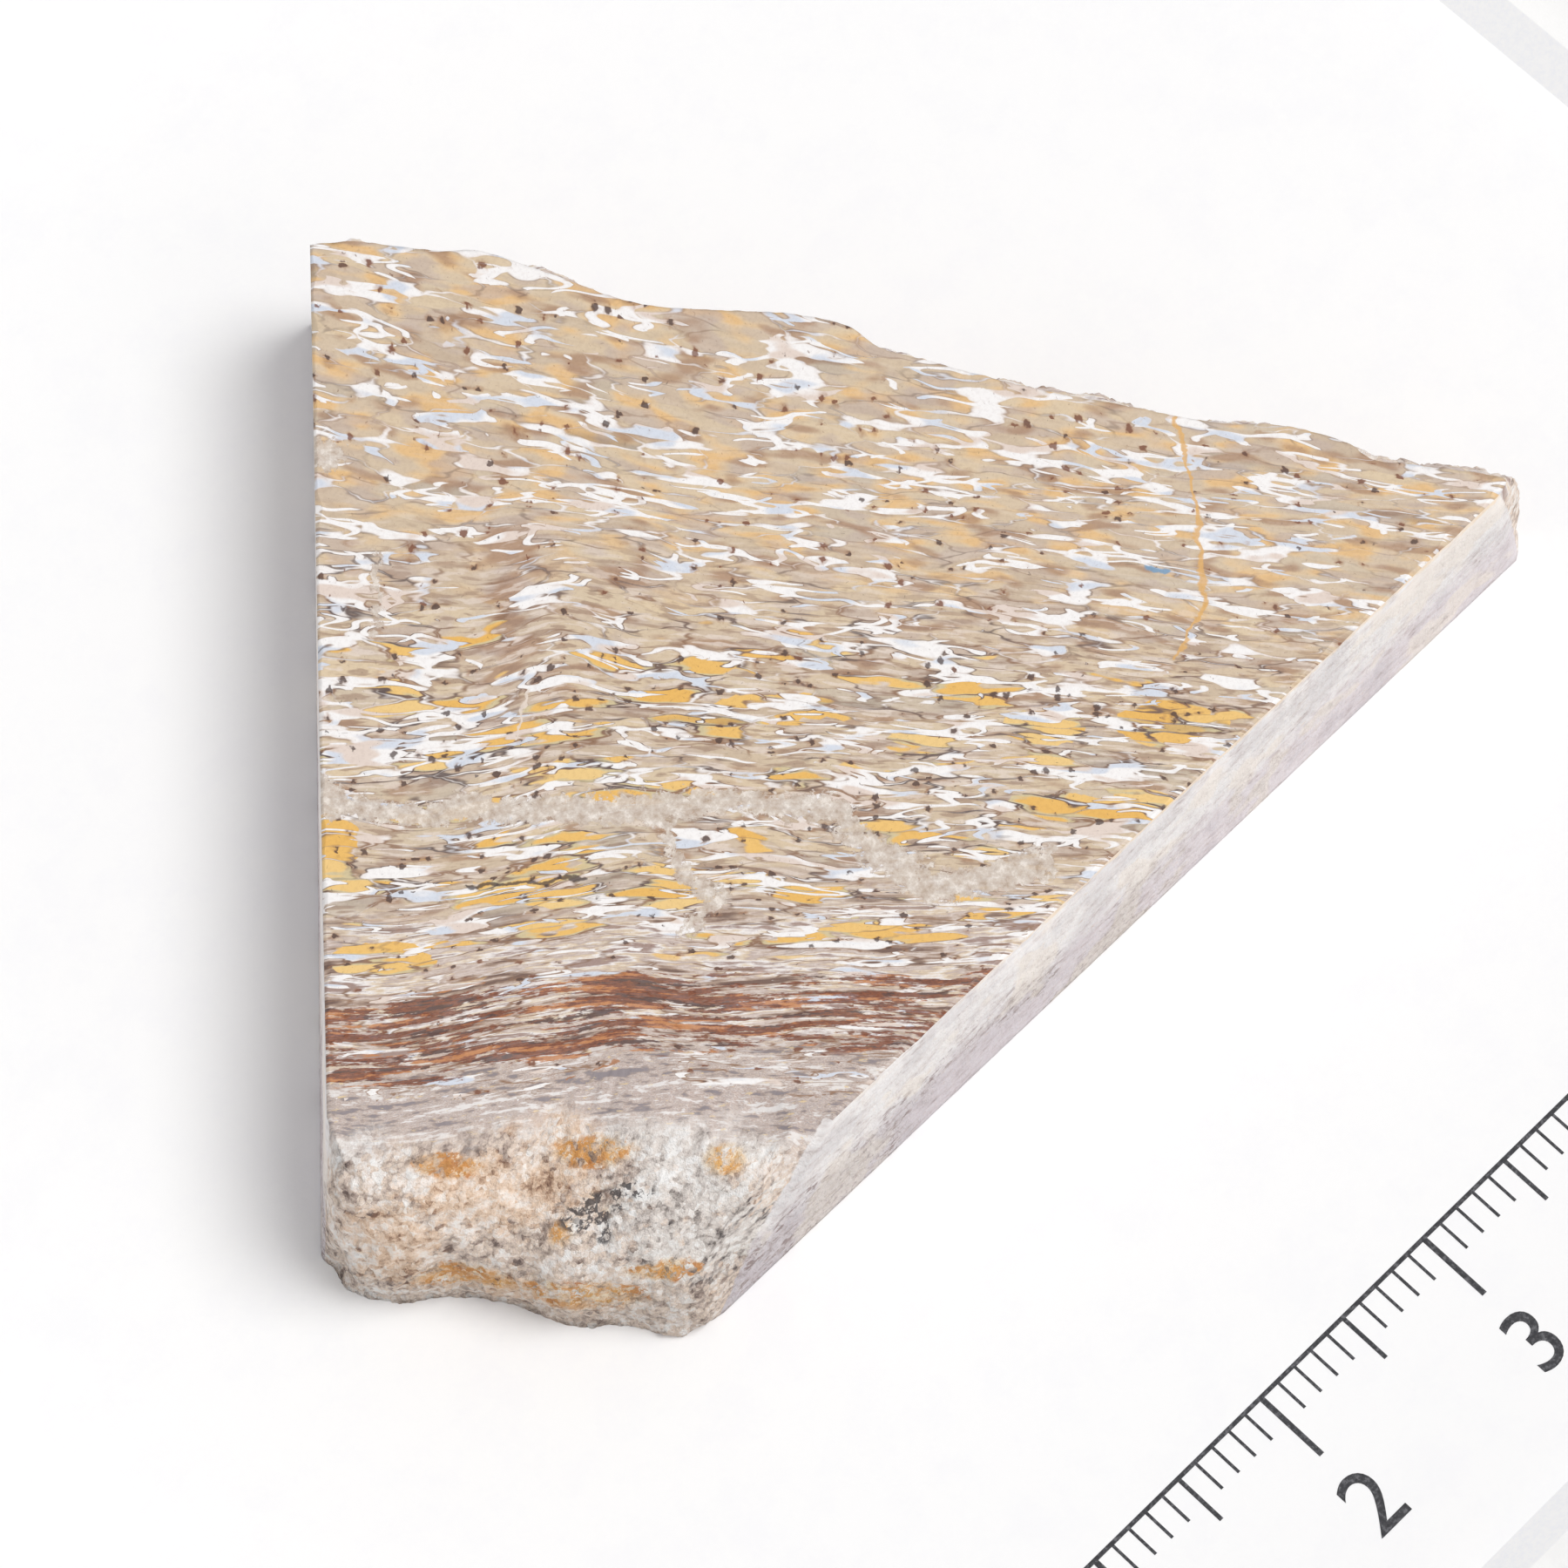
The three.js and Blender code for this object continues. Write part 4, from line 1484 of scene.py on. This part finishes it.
# %% Painted wood
def painted_wood(name, turn):
    paint = Finish(name)
    place = paint.place(turn)
    brush = paint.scaled(place, (0.05, 2.2, 2.2))
    brush_mark, thickness, _ = paint.three_clouds(brush, detail=3, roughness=0.6)
    grain_place = paint.bent(paint.scaled(place, (0.02, 0.6, 0.6)), 0.7, (0, 1.2, 1.2))
    wood = paint.cloud(grain_place, detail=5, roughness=0.65)
    color = ramp(thickness, [(0.3, tint(238, 237, 234)), (0.6, tint(246, 245, 243))])
    dust = fade(paint.cloud(place, scale=1.4, detail=4, roughness=0.7), 0.66, 0.74)
    color = paint.mix(0.5 * dust, color, tint(222, 219, 212))
    relief = paint.bump(wood, 0.12, strength=0.5)
    relief = paint.bump(brush_mark, 0.05, strength=0.45, below=relief)
    return paint.finish(color, 0.34 + 0.22 * thickness, relief)


for turn, finish_name in ((0, "white_paint_lengthways"), (90, "white_paint_crossways")):
    paint_material = painted_wood(finish_name, math.radians(turn))
    for node_name, degrees in RAIL_TURNS.items():
        if degrees % 180 == turn:
            rails[node_name].data.materials.append(paint_material)
print("paint on:", [rail.name for rail in rails.values()])

# %% [markdown]
# ## The mat, the card, the board and the clips
#
# These flat parts keep their CAD shapes and only get finishes. The mat is a board with a paper face and
# a whiter core, and the core shows where its window is cut at a slant. How far a face is tilted tells
# the two apart, so the Geometry node's normal picks between them.


# %% Finishes for the flat parts
def dress(node_name, material):
    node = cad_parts[node_name]
    node.data.materials.clear()
    node.data.materials.append(material)


def paper(name, light, dark, tooth):
    """Paper: a faint cloudiness, short fibres, and a fine tooth."""
    sheet = Finish(name)
    place = sheet.place()
    cloudy, fibre, _ = sheet.three_clouds(place, scale=0.35, detail=5, roughness=0.75)
    color = ramp(0.6 * cloudy + 0.4 * fibre, [(0.4, dark), (0.52, light)])
    relief = sheet.bump(sheet.cloud(place, scale=6, detail=3, roughness=0.7), tooth, strength=0.3)
    return sheet, color, relief


card_sheet, card_color, card_relief = paper("card_paper", tint(254, 254, 254), tint(252, 252, 253), 0.02)
dress("card", card_sheet.finish(card_color, 0.85, card_relief))
print("card:", len(card_sheet.tree.nodes), "nodes")

# %% Mat board
CUT_FIBRE_LIFT = 1.6  # cut fibres stand up, so the slant is shaded as if it were less steep

mat_sheet, mat_color, mat_relief = paper("mat_board", tint(253, 253, 252), tint(248, 248, 247), 0.05)
face_normal = mat_sheet.node("NewGeometry", {}, output="True Normal")
_, _, facing_front = mat_sheet.split(face_normal)
is_core = fade(facing_front, 0.95, 0.85) * fade(facing_front, 0.05, 0.3)
core_grain = mat_sheet.cloud(mat_sheet.place(), scale=4, detail=3, roughness=0.7)
core = ramp(core_grain, [(0.35, tint(249, 250, 253)), (0.6, tint(255, 255, 255))])
mat_color = mat_sheet.mix(is_core, mat_color, core)
lift = mat_sheet.join(0, 0, is_core * CUT_FIBRE_LIFT)
mat_normal = mat_sheet.vector_math("NORMALIZE", mat_sheet.vector_math("ADD", mat_relief, lift))
dress("mat", mat_sheet.finish(mat_color, 0.8, mat_normal))
print("mat:", len(mat_sheet.tree.nodes), "nodes")

# %% [markdown]
# The board at the back is pressed wood fibre. Its colour comes from two clouds, one of fine short
# fibres and one of darker chips. The clips are thin steel with rolling marks along them.

# %% Fibreboard
FIBRES = [
    (0.30, tint(112, 80, 54)),
    (0.48, tint(150, 114, 80)),
    (0.64, tint(182, 146, 108)),
]

board = Finish("fibreboard")
fibre_place = board.bent(board.scaled(board.place(), (1.1, 2.6, 2)), 0.5, (2, 2, 2))
fibre_tone, chip_tone, board_shade = board.three_clouds(fibre_place, detail=4, roughness=0.7)
board_color = ramp(fibre_tone, FIBRES)
board_color = board.mix(0.7 * fade(chip_tone, 0.6, 0.68), board_color, tint(88, 60, 40))
board_relief = board.bump(fibre_tone, 0.10, strength=0.5)
dress("backboard", board.finish(board_color, 0.6 + 0.3 * board_shade, board_relief))
print("backboard:", len(board.tree.nodes), "nodes")

# %% Steel clips
steel = Finish("clip_steel")
along_clip = steel.scaled(steel.place(), (0.3, 9, 2))
rolled, tarnish, _ = steel.three_clouds(along_clip, detail=4, roughness=0.6)
steel_color = ramp(tarnish, [(0.38, tint(150, 146, 140)), (0.58, tint(196, 197, 199))])
steel.shader.inputs["Metallic"].default_value = 0.9
steel_material = steel.finish(steel_color, 0.28 + 0.3 * rolled, steel.bump(rolled, 0.03, strength=0.4))
for node_name in RAIL_TURNS:
    dress(node_name.replace("rail", "clip"), steel_material)
print("clips:", len(steel.tree.nodes), "nodes")

# %% [markdown]
# ## The printed ruler
#
# The card carries a plain ruler in dark grey ink, so that the size of the slice can be read off. Printed
# ink could be a pattern in the card's finish, but thin lines and figures stay sharper as a mesh. Ink
# has almost no thickness, so each mark is a slab a hundredth of a millimetre high.

# %% Marks of the ruler
INK_HEIGHT = 0.012
RULER_TOP = -38.6
RULER_REACH = 25
TICKS = {10: (3.4, 0.26), 5: (2.4, 0.2), 1: (1.5, 0.14)}  # every so many millimetres: length and width
RULER_LINE = 0.2


def slab(low, high):
    """The eight corners and six faces of a flat mark."""
    (x0, y0), (x1, y1) = low, high
    heights = (CARD_TOP, CARD_TOP + INK_HEIGHT)
    corners = [(x, y, z) for z in heights for x, y in ((x0, y0), (x1, y0), (x1, y1), (x0, y1))]
    sides = [(i, (i + 1) % 4, 4 + (i + 1) % 4, 4 + i) for i in range(4)]
    return corners, [(3, 2, 1, 0), (4, 5, 6, 7)] + sides


ruler_points, ruler_faces = [], []
marks = [((-RULER_REACH, RULER_TOP), (RULER_REACH, RULER_TOP + RULER_LINE))]
for millimetre in range(2 * RULER_REACH + 1):
    length, width = next(size for every, size in TICKS.items() if millimetre % every == 0)
    x = millimetre - RULER_REACH
    marks.append(((x - width / 2, RULER_TOP - length), (x + width / 2, RULER_TOP)))
for low, high in marks:
    corners, mark_faces = slab(low, high)
    ruler_faces += [tuple(len(ruler_points) + i for i in face) for face in mark_faces]
    ruler_points += corners
ruler = new_piece("ruler_marks", ruler_points, ruler_faces)
print("ruler:", len(marks), "marks")

# %% Figures of the ruler
FIGURE_SIZE = 4.2
FIGURE_TOP = RULER_TOP - 4.3


def printed_figure(number):
    """A text object becomes a mesh, so that it exports like every other piece."""
    curve = bpy.data.curves.new(f"figure_{number}", "FONT")
    curve.body = str(number)
    curve.size = FIGURE_SIZE * MM
    curve.extrude = INK_HEIGHT * MM / 2
    curve.align_x = "CENTER"
    curve.align_y = "TOP"
    curve.resolution_u = 6
    text = bpy.data.objects.new(curve.name, curve)
    bpy.context.scene.collection.objects.link(text)
    bpy.context.view_layer.update()
    mesh = bpy.data.meshes.new_from_object(text)
    bpy.data.objects.remove(text)
    figure = bpy.data.objects.new(f"ruler_figure_{number}", mesh)
    place = Vector((10 * number - RULER_REACH, FIGURE_TOP, CARD_TOP + INK_HEIGHT / 2)) * MM
    for vertex in mesh.vertices:
        vertex.co += place
    bpy.context.scene.collection.objects.link(figure)
    return figure


INK = [
    (0.38, tint(46, 46, 50)),
    (0.52, tint(62, 62, 66)),
    (0.66, tint(104, 104, 108)),
]
ink = Finish("ruler_ink")
ink_cloud, ink_gloss, _ = ink.three_clouds(ink.place(), scale=5, detail=3, roughness=0.7)
ink_material = ink.finish(ramp(ink_cloud, INK), 0.45 + 0.3 * ink_gloss)
for piece in [ruler] + [printed_figure(number) for number in range(2 * RULER_REACH // 10 + 1)]:
    piece.data.materials.clear()
    piece.data.materials.append(ink_material)
    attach(piece, "root")
print("figures: 0 to", 2 * RULER_REACH // 10)

# %% [markdown]
# ## The floor
#
# A big pale sheet under the frame catches its shadow in views from the side. It isn't part of the
# object.

# %% Floor
FLOOR_HALF = 2000
floor_corners = [(x, y, 0) for x in (-FLOOR_HALF, FLOOR_HALF) for y in (-FLOOR_HALF, FLOOR_HALF)]
floor = new_piece("floor", floor_corners, [(0, 2, 3, 1)])
floor_finish = Finish("floor")
floor_tone = floor_finish.cloud(floor_finish.place(), scale=0.02, detail=4)
floor_color = ramp(floor_tone, [(0.3, tint(233, 232, 230)), (0.7, tint(238, 237, 235))])
floor.data.materials.append(floor_finish.finish(floor_color, 0.9))
print("floor:", 2 * FLOOR_HALF / 1000, "m wide")
